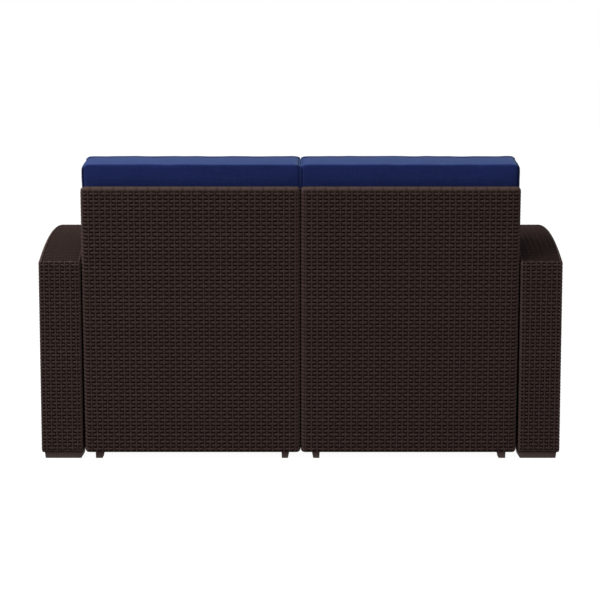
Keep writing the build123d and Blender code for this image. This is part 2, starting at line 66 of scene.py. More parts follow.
# ------------------------------------------------------------------- materials
class Nodes:
    """Small helper to write node trees in few lines."""

    def __init__(self, name):
        self.mat = bpy.data.materials.new(name)
        self.mat.use_nodes = True
        self.tree = self.mat.node_tree
        self.tree.nodes.clear()
        self.out = self.tree.nodes.new("ShaderNodeOutputMaterial")
        self.bsdf = self.tree.nodes.new("ShaderNodeBsdfPrincipled")
        self.tree.links.new(self.bsdf.outputs[0], self.out.inputs["Surface"])

    def add(self, kind, ins=None, **props):
        node = self.tree.nodes.new(kind)
        for k, v in props.items():
            setattr(node, k, v)
        for k, v in (ins or {}).items():
            self.put(node, k, v)
        return node

    def put(self, node, key, value):
        socket = node.inputs[key]
        if isinstance(value, bpy.types.NodeSocket):
            self.tree.links.new(value, socket)
        elif isinstance(value, bpy.types.Node):
            self.tree.links.new(value.outputs[0], socket)
        else:
            socket.default_value = value

    def math(self, op, a, b=0.0, clamp=False):
        return self.add("ShaderNodeMath", {0: a, 1: b}, operation=op, use_clamp=clamp)

    def mix(self, fac, a, b, blend="MIX"):
        node = self.add("ShaderNodeMix", data_type="RGBA", blend_type=blend)
        self.put(node, 0, fac)
        self.put(node, 6, a)
        self.put(node, 7, b)
        return node.outputs[2]

    def ramp(self, fac, *stops):
        node = self.add("ShaderNodeValToRGB", {0: fac})
        el = node.color_ramp.elements
        while len(el) < len(stops):
            el.new(0.5)
        for e, (at, value) in zip(el, stops):
            e.position = at
            e.color = (*value, 1.0) if hasattr(value, "__len__") else (value,) * 3 + (1.0,)
        return node.outputs[0]

    def noise(self, vector, scale, detail=2.0, rough=0.5):
        node = self.add(
            "ShaderNodeTexNoise",
            {"Vector": vector, "Scale": scale, "Detail": detail, "Roughness": rough},
        )
        return node.outputs["Fac"]

    def scaled(self, vector, sx, sy, sz):
        return self.add(
            "ShaderNodeVectorMath", {0: vector, 1: (sx, sy, sz)}, operation="MULTIPLY"
        ).outputs[0]

    def bump(self, height, distance, strength=1.0, normal=None):
        node = self.add(
            "ShaderNodeBump", {"Height": height, "Distance": distance, "Strength": strength}
        )
        if normal is not None:
            self.put(node, "Normal", normal)
        return node.outputs[0]

    def shade(self, **values):
        for k, v in values.items():
            self.put(self.bsdf, k.replace("_", " "), v)
        return self.mat


def wicker_material():
    """Moulded resin weave: brown strands with fine drawn lines, with painted shade darkening the gaps."""
    m = Nodes("woven_resin")
    relief = m.add("ShaderNodeAttribute", attribute_name="relief").outputs["Fac"]
    weave = m.add("ShaderNodeAttribute", attribute_name="weave").outputs["Vector"]
    tone = m.add("ShaderNodeAttribute", attribute_name="tone").outputs["Fac"]
    obj = m.add("ShaderNodeTexCoord").outputs["Object"]
    # height 0 is the crest of the weave, -3.2 the floor of a gap
    deep = m.math("MULTIPLY_ADD", relief, 0.3125)
    deep.inputs[2].default_value = 1.0
    streak = m.noise(m.scaled(weave, 0.035, 1.1, 0.0), 1.0, 3.0)
    cloud = m.noise(obj, 9.0, 3.0)
    body = m.ramp(streak, (0.25, (0.060, 0.0370, 0.0322)), (0.75, (0.092, 0.0605, 0.0540)))
    body = m.mix(m.ramp(cloud, (0.35, 0.0), (0.65, 0.8)), body, (0.074, 0.0460, 0.0405, 1.0))
    # a tone lightens the strands: at random, and as a painted highlight on the module shells' upright and top
    # edges
    body = m.mix(m.math("MULTIPLY", tone, 0.45), body, (0.106, 0.072, 0.065, 1.0))
    # painted shade: a tone below nought darkens the strands on the arms' tops and in the crease where the two
    # modules touch
    body = m.mix(m.math("MULTIPLY", tone, -1.0), body, (0.016, 0.0095, 0.0082, 1.0))
    # painted shade: the deeper a point lies in the weave, the more its colour turns to the dark gap colour
    dark = m.mix(m.ramp(deep, (0.25, 0.0), (0.95, 1.0)), (0.0180, 0.0082, 0.0067, 1.0), body)
    lines = m.noise(m.scaled(weave, 0.05, 1.9, 0.0), 1.0, 2.0, 0.6)
    grain = m.noise(obj, 900.0, 2.0)
    n = m.bump(lines, 0.0006, 0.55)
    n = m.bump(grain, 0.0002, 0.35, n)
    rough = m.ramp(streak, (0.2, 0.58), (0.8, 0.72))
    return m.shade(
        Base_Color=dark, Roughness=rough, Normal=n, IOR=1.45, Specular_IOR_Level=0.05
    )


def resin_material(name, low, high, rough=(0.42, 0.6)):
    """Plain moulded resin with a fine grain and faint flow marks."""
    m = Nodes(name)
    obj = m.add("ShaderNodeTexCoord").outputs["Object"]
    flow = m.noise(m.scaled(obj, 5.0, 5.0, 14.0), 1.0, 4.0)
    grain = m.noise(obj, 1400.0, 2.0)
    scuff = m.noise(obj, 60.0, 5.0, 0.7)
    col = m.ramp(flow, (0.3, low), (0.7, high))
    col = m.mix(m.ramp(scuff, (0.62, 0.0), (0.80, 0.35)), col, tuple(c * 1.7 for c in high) + (1.0,))
    n = m.bump(grain, 0.0003, 0.5)
    return m.shade(
        Base_Color=col, Roughness=m.ramp(scuff, (0.3, rough[0]), (0.7, rough[1])), Normal=n,
        IOR=1.48, Specular_IOR_Level=0.2,
    )


def fabric_material():
    """Blue woven outdoor canvas with a soft bloom."""
    m = Nodes("cushion_fabric")
    obj = m.add("ShaderNodeTexCoord").outputs["Object"]
    warp = m.noise(obj, 35.0, 2.0)
    sep = m.add("ShaderNodeSeparateXYZ", {0: obj})
    waves = []
    for axis, rate in ((0, 3300.0), (1, 3300.0), (2, 3300.0)):
        s = m.math("SINE", m.math("MULTIPLY", sep.outputs[axis], rate))
        waves.append(s)
    cloth = m.math("ADD", m.math("ADD", waves[0], waves[1]), waves[2])
    slub_x = m.noise(m.scaled(obj, 30.0, 900.0, 900.0), 1.0, 2.0)
    slub_y = m.noise(m.scaled(obj, 900.0, 30.0, 30.0), 1.0, 2.0)
    slub = m.math("ADD", slub_x, slub_y)
    cloud = m.noise(obj, 7.0, 4.0, 0.6)
    col = m.ramp(
        m.math("MULTIPLY", slub, 0.5), (0.38, (0.0118, 0.0225, 0.125)), (0.62, (0.0235, 0.0400, 0.190))
    )
    col = m.mix(m.ramp(cloud, (0.3, 0.0), (0.7, 0.45)), col, (0.0225, 0.0395, 0.200, 1.0))
    # painted shade: the cloth is darker down in the seams
    seam = m.add("ShaderNodeAttribute", attribute_name="seam").outputs["Fac"]
    col = m.mix(seam, col, (0.0035, 0.0060, 0.030, 1.0))
    n = m.bump(cloth, 0.00035, 0.22)
    n = m.bump(slub, 0.0004, 0.25, n)
    n = m.bump(warp, 0.004, 0.10, n)
    return m.shade(
        Base_Color=col, Roughness=0.95, Normal=n, Specular_IOR_Level=0.16,
        Sheen_Weight=0.18, Sheen_Roughness=0.5, Sheen_Tint=(0.50, 0.80, 0.95, 1.0),
    )


def tape_material():
    m = Nodes("zip_tape")
    obj = m.add("ShaderNodeTexCoord").outputs["Object"]
    rib = m.noise(m.scaled(obj, 2600.0, 700.0, 700.0), 1.0, 1.0)
    col = m.ramp(rib, (0.3, (0.008, 0.012, 0.06)), (0.7, (0.022, 0.03, 0.12)))
    return m.shade(Base_Color=col, Roughness=0.85, Normal=m.bump(rib, 0.0004, 0.6))


def metal_material(name, low, high, scale):
    m = Nodes(name)
    obj = m.add("ShaderNodeTexCoord").outputs["Object"]
    spangle = m.noise(obj, scale, 3.0, 0.6)
    col = m.ramp(spangle, (0.3, low), (0.7, high))
    rough = m.ramp(spangle, (0.3, 0.25), (0.7, 0.48))
    return m.shade(
        Base_Color=col, Metallic=1.0, Roughness=rough, Normal=m.bump(spangle, 0.0002, 0.3)
    )


WICKER = wicker_material()
PLAIN = resin_material("plain_resin", (0.040, 0.027, 0.022), (0.060, 0.042, 0.035))
FOOT = resin_material("foot_resin", (0.104, 0.066, 0.059), (0.150, 0.099, 0.089))
FABRIC = fabric_material()
TAPE = tape_material()
ZINC = metal_material("zinc_steel", (0.50, 0.50, 0.50), (0.72, 0.71, 0.69), 260.0)
ZIP_METAL = metal_material("zip_metal", (0.06, 0.06, 0.07), (0.14, 0.14, 0.15), 500.0)
SLOT_MATERIAL = {
    "woven_resin": WICKER, "plain_resin": PLAIN, "foot_resin": FOOT,
    "cushion_fabric": FABRIC, "foam": FABRIC, "zinc_steel": ZINC,
    "zip_tape": TAPE, "zip_metal": ZIP_METAL,
}
for sub in frame["record"]["subparts"]:
    node = NODES[sub["node"]]
    node.data.materials.clear()
    node.data.materials.append(SLOT_MATERIAL[sub["material_slot"]])


# ----------------------------------------------------------------- woven shells
def crown(d, half, edge):
    """1 where |d| is under half, 0 past edge, smooth between."""
    t = np.clip((np.abs(d) - half) / (edge - half), 0.0, 1.0)
    return 1.0 - t * t * (3.0 - 2.0 * t)


GAP = -3.2
ROW_TONE = rng.uniform(0.0, 1.0, 4000)


def weave(u, v, pu, pv, rib=1.75, half=0.25, edge=0.42, dips=1.8):
    """Height of a plain weave. Strands run along u over and under ribs that run
    along v; ribs lie at whole multiples of pu, gaps between strands at whole
    multiples of pv. Returns height, how much of it is rib, and a tone."""
    u, v = np.broadcast_arrays(np.asarray(u, float), np.asarray(v, float))
    i = np.round(u / pu)
    du = u - i * pu
    k = np.floor(v / pv)
    dv = v - (k + 0.5) * pv
    over = (i + k) % 2 == 0
    c = crown(dv, half * pv, edge * pv)
    dip = np.where(over, 0.30 * crown(du, 1.6, 4.2), dips * crown(du, rib + 1.2, rib + 3.4))
    top = -dip - 0.35 * np.clip(np.abs(dv) / (half * pv), 0, 1.5) ** 2
    strand = top * c + GAP * (1 - c)
    rc = crown(du, rib, rib + 1.3)
    bar = (-0.42 - 0.25 * np.minimum(du / rib, 1.6) ** 2) * rc + GAP * (1 - rc)
    is_rib = (bar > strand).astype(float)
    tone = ROW_TONE[(k.astype(int) * 7 + 311) % 4000] * (1 - is_rib)
    tone += ROW_TONE[(i.astype(int) * 13 + 97) % 4000] * is_rib
    return np.maximum(strand, bar), is_rib, tone


def coords(u, v, is_rib, tone):
    """Columns along-strand, across-strand (swapped on a rib), and the tone."""
    u, v, is_rib, tone = np.broadcast_arrays(*(np.asarray(q, float) for q in (u, v, is_rib, tone)))
    a = np.where(is_rib > 0.5, v, u)
    b = np.where(is_rib > 0.5, u, v)
    return np.stack([a, b, tone], -1)


class Loop:
    """The outline of a flat face, walked anticlockwise: vertex, place, outward
    normal, region and position along the region. Regions: 0 bottom, 1 right,
    2 top, 3 left; a corner belongs to the upright side it joins, with the
    distance turned in turn."""

    def __init__(self):
        self.rows = []

    def put(self, vid, p, n, region, s, turn=0.0, corner=0.0):
        self.rows.append((vid, p[0], p[1], n[0], n[1], region, s, turn, corner))

    def close(self):
        r = np.array(self.rows, float)
        self.vid = r[:, 0].astype(int)
        self.p, self.n = r[:, 1:3], r[:, 3:5]
        self.region = r[:, 5].astype(int)
        self.s, self.turn, self.corner = r[:, 6], r[:, 7], r[:, 8]
        return self


class Shell:
    """A closed thin-walled moulding: one face in flat layout (p, q), then rings
    that run round its outline and away from it, then a cap inside."""

    def __init__(self, place):
        self.place = place
        self.co, self.lay, self.rel, self.wv = [], [], [], []
        self.quads, self.flat, self.polys = [], [], []
        self.n = 0

    def points(self, p, w, lay, h, wv):
        p = np.asarray(p, float)
        n = len(p)
        self.co.append(self.place(p, np.broadcast_to(w, n)))
        self.lay.append(np.asarray(lay, float))
        self.rel.append(np.broadcast_to(h, n).astype(float))
        self.wv.append(np.broadcast_to(wv, (n, 3)).astype(float))
        ids = np.arange(self.n, self.n + n)
        self.n += n
        return ids

    def face(self, cols, relief):
        """cols: one (N, 2) array of points per column, bottom to top."""
        ids = []
        for c in cols:
            h, wv = relief(c)
            ids.append(self.points(c, -h, c, h, wv))
        for a, b in zip(ids[:-1], ids[1:]):
            even = len(a) == len(b)
            n = min(len(a), len(b)) - (0 if even else 1)
            self.quads.append(np.stack([a[: n - 1], b[: n - 1], b[1:n], a[1:n]], 1))
            if not even:
                self.polys.append(list(b[n - 1:]) + list(a[n - 1:][::-1]))
        return ids

    def ring(self, loop, prev, o, w, reach, phi, h, wv, flat=False):
        """Adds a ring at outward offset o and depth w. phi is the angle of the
        surface normal: 0 faces as the flat face does, 90 straight outwards."""
        s, c = math.sin(phi), math.cos(phi)
        h = np.broadcast_to(h, len(loop.vid)).astype(float)
        p = loop.p + loop.n * (o + h * s)[:, None] if np.ndim(o) else loop.p + loop.n * (o + h * s)[:, None]
        lay = loop.p + loop.n * np.broadcast_to(reach, len(h))[:, None]
        ids = self.points(p, np.broadcast_to(w, len(h)) - h * c, lay, h, wv)
        a2, b2 = np.roll(prev, -1), np.roll(ids, -1)
        q = np.stack([a2, prev, ids, b2], 1)
        same = prev == a2
        (self.flat if flat else self.quads).append(q[~same])
        if same.any():
            self.polys.extend([list(t) for t in q[same][:, 1:]])
        return ids

    def cap(self, ids):
        self.cap_at = len(self.polys)
        self.polys.append(list(ids[::-1]))

    def build(self, name, material, extra=None):
        co = np.concatenate(self.co) * MM
        lay = np.concatenate(self.lay)
        lay = lay - lay.min(0)
        lay = 0.03 + 0.96 * lay / lay.max(0)
        quads = np.concatenate(self.quads) if self.quads else np.zeros((0, 4), int)
        flat = np.concatenate(self.flat) if self.flat else np.zeros((0, 4), int)
        polys = [np.array(p, int) for p in self.polys]
        rel, wv = np.concatenate(self.rel), np.concatenate(self.wv)
        # the sign of the volume says whether the faces point outwards
        vol = 0.0
        for q in (quads, flat):
            if len(q):
                a, b, c, d = (co[q[:, i]] for i in range(4))
                vol += np.einsum("ij,ij->i", a, np.cross(b, c)).sum()
                vol += np.einsum("ij,ij->i", a, np.cross(c, d)).sum()
        for p in polys:
            a = co[p[0]]
            vol += (np.cross(co[p[1:-1]], co[p[2:]]) @ a).sum()
        if vol < 0:
            quads, flat = quads[:, ::-1], flat[:, ::-1]
            polys = [p[::-1] for p in polys]
        loops = np.concatenate([quads.ravel(), flat.ravel()] + polys)
        total = np.concatenate(
            [np.full(len(quads) + len(flat), 4), [len(p) for p in polys]]
        ).astype(int)
        start = np.concatenate([[0], np.cumsum(total)[:-1]])
        me = bpy.data.meshes.new(name)
        me.vertices.add(len(co))
        me.vertices.foreach_set("co", co.astype(np.float32).ravel())
        me.loops.add(len(loops))
        me.loops.foreach_set("vertex_index", loops.astype(np.int32))
        me.polygons.add(len(total))
        me.polygons.foreach_set("loop_start", start.astype(np.int32))
        me.polygons.foreach_set("loop_total", total.astype(np.int32))
        smooth = np.ones(len(total), bool)
        smooth[len(quads): len(quads) + len(flat)] = False
        uv = lay[loops]
        if hasattr(self, "cap_at"):
            at = len(quads) + len(flat) + self.cap_at
            smooth[at] = False
            a, b = start[at], start[at] + total[at]
            uv[a:b] = 0.002 + 0.02 * uv[a:b]
        me.polygons.foreach_set("use_smooth", smooth)
        me.update(calc_edges=True)
        layer = me.uv_layers.new(name="OFBake")
        layer.data.foreach_set("uv", uv.astype(np.float32).ravel())
        me.attributes.new("relief", "FLOAT", "POINT").data.foreach_set(
            "value", rel.astype(np.float32)
        )
        me.attributes.new("weave", "FLOAT_VECTOR", "POINT").data.foreach_set(
            "vector", (wv * [1, 1, 0]).astype(np.float32).ravel()
        )
        me.attributes.new("tone", "FLOAT", "POINT").data.foreach_set(
            "value", wv[:, 2].astype(np.float32)
        )
        me.materials.append(material)
        ob = bpy.data.objects.new(name, me)
        scene.collection.objects.link(ob)
        return ob


def turned(n0, n1, steps):
    """Unit normals from n0 to n1, both left out, and the share turned."""
    a0, a1 = math.atan2(n0[1], n0[0]), math.atan2(n1[1], n1[0])
    while a1 < a0:
        a1 += 2 * math.pi
    out = []
    for i in range(1, steps):
        a = a0 + (a1 - a0) * i / steps
        out.append(((math.cos(a), math.sin(a)), (a1 - a0) * i / steps))
    return out, a1 - a0


def outline(cols, ids, r, top_normal, right_normal=(1.0, 0.0), left_normal=(-1.0, 0.0), steps=5):
    """Loop round a face made of columns; corners turn about the face's own
    corner points with radius r."""
    lp = Loop()
    m = len(cols)
    for j in range(m):
        lp.put(ids[j][0], cols[j][0], (0, -1), 0, cols[j][0][0])
    corner, p = turned((0, -1), right_normal, steps)[0], cols[-1][0]
    sweep = turned((0, -1), right_normal, steps)[1]
    for n, a in corner:
        lp.put(ids[-1][0], p, n, 1, p[1] - r * (sweep - a), -(sweep - a), 1)
    for k in range(len(cols[-1])):
        lp.put(ids[-1][k], cols[-1][k], right_normal, 1, cols[-1][k][1])
    p = cols[-1][-1]
    for n, a in turned(right_normal, top_normal(p), steps)[0]:
        lp.put(ids[-1][-1], p, n, 1, p[1] + r * a, a, 1)
    for j in range(m - 1, -1, -1):
        lp.put(ids[j][-1], cols[j][-1], top_normal(cols[j][-1]), 2, cols[j][-1][0])
    p = cols[0][-1]
    corner, sweep = turned(top_normal(p), left_normal, steps)
    for n, a in corner:
        lp.put(ids[0][-1], p, n, 3, p[1] + r * (sweep - a), sweep - a, 1)
    for k in range(len(cols[0]) - 1, -1, -1):
        lp.put(ids[0][k], cols[0][k], left_normal, 3, cols[0][k][1])
    p = cols[0][0]
    for n, a in turned(left_normal, (0, -1), steps)[0]:
        lp.put(ids[0][0], p, n, 3, p[1] - r * a, -a, 1)
    return lp.close()


def across(first, count, pitch, rib0, lo, hi, offsets=(-4.6, -3.0, -1.75, 1.75, 3.0, 4.6)):
    """Sample positions over ribs at rib0 + pitch * j, and the gaps between."""
    out = []
    for j in range(first, first + count):
        c = rib0 + pitch * j
        out += [c - pitch / 2] + [c + d for d in offsets]
    out.append(rib0 + pitch * (first + count - 0.5))
    out = [x for x in out if lo + 1.2 < x < hi - 1.2]
    return np.array([lo] + out + [hi])


# -------------------------------------------------------------- back module shell
BACK_TOP, BACK_LOW = 733.0, 16.5
X_IN, X_OUT, X_OUT_LOW = 0.0, 585.5, 581.0
TAN10 = math.tan(math.radians(10.0))
RIB_P, RIB_0 = 15.3, 5.35          # rib pitch, first rib from the outer edge
ROW_P = 9.837                      # strand pitch
BACK_GAP0 = 719.75                 # height of the topmost gap between strands


def draft(z):
    t = np.clip((z - BACK_LOW) / (BACK_TOP - BACK_LOW), 0, 1)
    return (X_OUT - X_OUT_LOW) * (1 - t)


def front_y(z):
    """Y of the front edge of a back module's side wall."""
    z = np.maximum(z, 262.0)
    return 360.0 - 39.4 - (BACK_TOP - z) * TAN10


def bead(v, pitch, depth, skew=0.0):
    """Strands lapping round an edge: one hump for each strand."""
    k = np.floor(v / pitch)
    dv = v + skew - (np.floor((v + skew) / pitch) + 0.5) * pitch
    h = -0.1 - depth * (1 - crown(dv, 0.22 * pitch, 0.5 * pitch))
    return h, ROW_TONE[(k.astype(int) * 7 + 311) % 4000]


def module_shell(name, side, face_y, direction, z_low, z_top, gap0, r, depth_of, rear):
    """A back module's rear shell or a front apron. direction is -1 where the
    depth runs towards -Y, +1 where it runs towards +Y."""

    def place(p, w):
        # the face curves back gently towards its upright edges
        d = np.clip(np.minimum(p[:, 0] - X_IN, X_OUT - p[:, 0]), 0.0, 20.0)
        bend = 2.8 * (1 - d / 20.0) ** 2 * np.clip(1 - w / 26.0, 0, 1)
        return np.stack([side * p[:, 0], face_y + direction * (w + bend), p[:, 1]], 1)

    sh = Shell(place)
    d_lines = across(0, 39, RIB_P, RIB_0, r, X_OUT - X_IN - r)
    x_lines = (X_OUT - d_lines)[::-1]
    rows = [z_low + r]
    k = int((gap0 - z_low - r) / ROW_P)
    z_lines = []
    while k >= 0:
        g = gap0 - ROW_P * k
        z_lines += [g - ROW_P / 2 + d for d in (-4.1, -2.45, 2.45, 4.1)]
        k -= 1
    rows += [z for z in z_lines if z_low + r + 1.2 < z < z_top - r - 1.2]
    rows = np.array(rows + [z_top - r])

    def sheared(x, z):
        if not rear:
            return np.full_like(z, x)
        d = X_OUT - x
        return x - draft(z) * np.clip(1 - (d - r) / 60.0, 0, 1)

    def relief(c):
        z = c[:, 1]
        u = X_OUT - c[:, 0] - RIB_0
        if rear:
            u = u - draft(z) * np.clip(1 - (X_OUT - c[:, 0] - r) / 60.0, 0, 1)
        v = gap0 - z
        h, rib, tone = weave(u, v + 40 * ROW_P, RIB_P, ROW_P)
        h = np.where(v < -0.5, -0.3, h)
        return h, coords(u, v, rib, tone)

    cols = [np.stack([sheared(x, rows), rows], 1) for x in x_lines]
    ids = sh.face(cols, relief)
    lp = outline(cols, ids, r, lambda p: (0.0, 1.0))
    L = len(lp.vid)
    prev = lp.vid
    u_loop = X_OUT - lp.p[:, 0] - RIB_0
    v_loop = gap0 - lp.s
    up = (lp.region == 1) | (lp.region == 3)
    top = lp.region == 2
    low = lp.region == 0
    turn_end = r * math.pi / 2

    def edge_relief(reach, out):
        h = np.full(L, -0.2)
        tone = np.full(L, 0.5)
        # a braided border: one bead for each strand, behind a narrow groove
        hb, tb = bead(v_loop + 40 * ROW_P, ROW_P, 1.5, 0.35 * ROW_P * reach / turn_end)
        groove = 1.1 * math.exp(-(((reach - 2.0) / 1.5) ** 2))
        hb = hb - np.where(lp.region == 1, groove, 0.0)
        h = np.where(up & (lp.corner < 0.5), hb, h)
        # painted highlight: the beads on the upright edges are lightened, those on the outer edge more than on
        # the inner one
        tone = np.where(up, np.where(lp.region == 1, 0.7, 0.4) + 0.6 * tb, tone)
        # painted shade: the outermost strip of the inner edge, in the crease where the two modules touch, is
        # darkened
        tone = np.where((lp.region == 3) & (out > 0.96 * r), -0.7, tone)
        # over the top edge the strands lie in runs of two rib cells
        q = (u_loop / RIB_P + 0.5) / 2
        dq = (q - np.round(q)) * 2 * RIB_P
        ht = -0.05 - 1.5 * crown(dq, 0.6, 3.4)
        h = np.where(top, ht, h)
        # painted highlight: the rounded top edge is lightened
        tone = np.where(top, 1.1, tone)
        # the weave runs on down to the bottom edge; its last rings sink to a gap's depth, in form and in the
        # gaps' painted shade
        v_low = gap0 - (z_low + r - out)
        hl, rib_l, tone_l = weave(u_loop, v_low + 40 * ROW_P, RIB_P, ROW_P)
        h = np.where(low, hl if out < 0.87 * r else np.minimum(hl, -1.9), h)
        a = np.where(up, reach, u_loop)
        b = np.where(up, v_loop, np.where(low, v_low, -reach))
        tone = np.where(low, tone_l, tone)
        return h, coords(a, b, np.where(low, rib_l, 0.0), tone)

    # the upright edges are rounded wide and shallow, the top one evenly
    share = np.clip(lp.turn / (math.pi / 2), 0, 1)
    flat = np.where(lp.region == 3, 0.8, 0.5)
    deep = np.where(top, r, np.where(low, 0.12 * r, flat * r + (1 - flat) * r * share))
    n_turn = 7
    for i in range(1, n_turn + 1):
        phi = math.pi / 2 * i / n_turn
        h, wv = edge_relief(r * phi, r * math.sin(phi))
        prev = sh.ring(
            lp, prev, np.full(L, r * math.sin(phi)), deep * (1 - math.cos(phi)),
            r * phi, phi, h, wv,
        )
    outer = lp.p + lp.n * r
    full = depth_of(outer[:, 1])
    n_wall = 20 if rear else 9
    for i in range(1, n_wall + 1):
        f = i / n_wall
        w = deep + (full - deep) * f
        reach = turn_end + (w - deep)
        hs, rib_s, tone_s = weave(reach - turn_end + RIB_P / 2, v_loop + 40 * ROW_P, RIB_P, ROW_P)
        ht, rib_t, tone_t = weave(u_loop, (reach - turn_end) + ROW_P * 40, RIB_P, ROW_P)
        h = np.where(up, hs, np.where(top, ht, -0.1))
        h = np.where(lp.corner > 0.5, -0.3, h)
        # the side walls that face the arm or the other module are plain below it
        hidden = (lp.region == 3) | (up & (lp.s < 500.0)) if rear else up
        h = np.where(hidden, -0.4, h)
        if i >= n_wall - 1:
            h = np.full(L, -0.3)
        h = np.where((lp.region == 3) & (w > r + 4.0), 0.0, h)
        wv = np.where(up[:, None], coords(reach, v_loop, rib_s, tone_s), coords(u_loop, reach, rib_t, tone_t))
        prev = sh.ring(lp, prev, np.full(L, r), w, reach, math.pi / 2, h, wv)
    plain = coords(0.0, 0.0, 0.0, 0.3)
    last = turn_end + full - deep
    inner = lp.p + lp.n * (r - 4.0)
    fi = depth_of(inner[:, 1])
    prev = sh.ring(lp, prev, np.full(L, r - 4.0), fi, last + 4, math.pi / 2, 0.0, plain, flat=True)
    prev = sh.ring(lp, prev, np.full(L, r - 4.0), np.full(L, 4.0), last + 9, math.pi / 2, 0.0, plain, flat=True)
    sh.cap(prev)
    return sh.build(name, WICKER)


# ------------------------------------------------------------------------- arms
ARM_IN, ARM_OUT = 587.0, 700.0
ARM_W = ARM_OUT - ARM_IN
ARM_LOW, ARM_END, ARM_PEAK = 16.0, 535.0, 604.0
ARM_Y = 360.0
ARM_ARC = (ARM_Y**2 + (ARM_PEAK - ARM_END) ** 2) / (2 * (ARM_PEAK - ARM_END))
ARC_Z = ARM_PEAK - ARM_ARC
ARM_R = 9.0
R_SIDE, R_SINK = 8.5, 7.5          # rounding of the edges next to the seat
ARM_ROW, ARM_GAP0 = 9.353, 529.8
ARM_CELL = 2 * (ARM_Y - ARM_R) / 48
REAR_RIB = 13.95                   # rib pitch on the arm's end faces
REAR_GAP0 = 8.6                    # first gap from the outer side
ARM_TOP_ROW = ARM_CELL * 2 / 3     # strand pitch along the arm's top
ARM_TOP_PAINTED_SHADE = 0.60


def arm_columns(coarse_below=None, fine=6):
    n = 48 * fine
    ys = np.linspace(-ARM_Y + ARM_R, ARM_Y - ARM_R, n + 1)
    zs = []
    for k in range(55, -9, -1):
        g = ARM_GAP0 - ARM_ROW * k
        c = g - ARM_ROW / 2
        if coarse_below and g < coarse_below:
            zs.append(g)
        else:
            zs += [c - 3.9, c - 2.35, c + 2.35, c + 3.9]
    zs = np.array(zs)
    cols = []
    for y in ys:
        top = ARC_Z + math.sqrt((ARM_ARC - ARM_R) ** 2 - y * y)
        z = zs[(zs > ARM_LOW + ARM_R + 1.2) & (zs < top - 1.0)]
        z = np.concatenate([[ARM_LOW + ARM_R], z, [top]])
        cols.append(np.stack([np.full_like(z, y), z], 1))
    return cols


def arc_normal(p):
    v = np.array([p[0], p[1] - ARC_Z])
    v = v / np.hypot(*v)
    return (v[0], v[1])


def arm_face_relief(c):
    y, z = c[:, 0], c[:, 1]
    u = y + ARM_Y - ARM_R - ARM_CELL / 2
    v = ARM_GAP0 - z + 40 * ARM_ROW
    h, rib, tone = weave(u, v, ARM_CELL, ARM_ROW)
    # a smooth border along the outline
    top = ARC_Z + np.sqrt((ARM_ARC - ARM_R) ** 2 - y * y)
    d = np.minimum.reduce([top - z, z - ARM_LOW - ARM_R + 1.0, ARM_Y - ARM_R - np.abs(y) + 1.0])
    t = np.clip(d / 2.0, 0, 1)
    h = h * t - 0.2 * (1 - t)
    return h, coords(u, v, rib, tone)


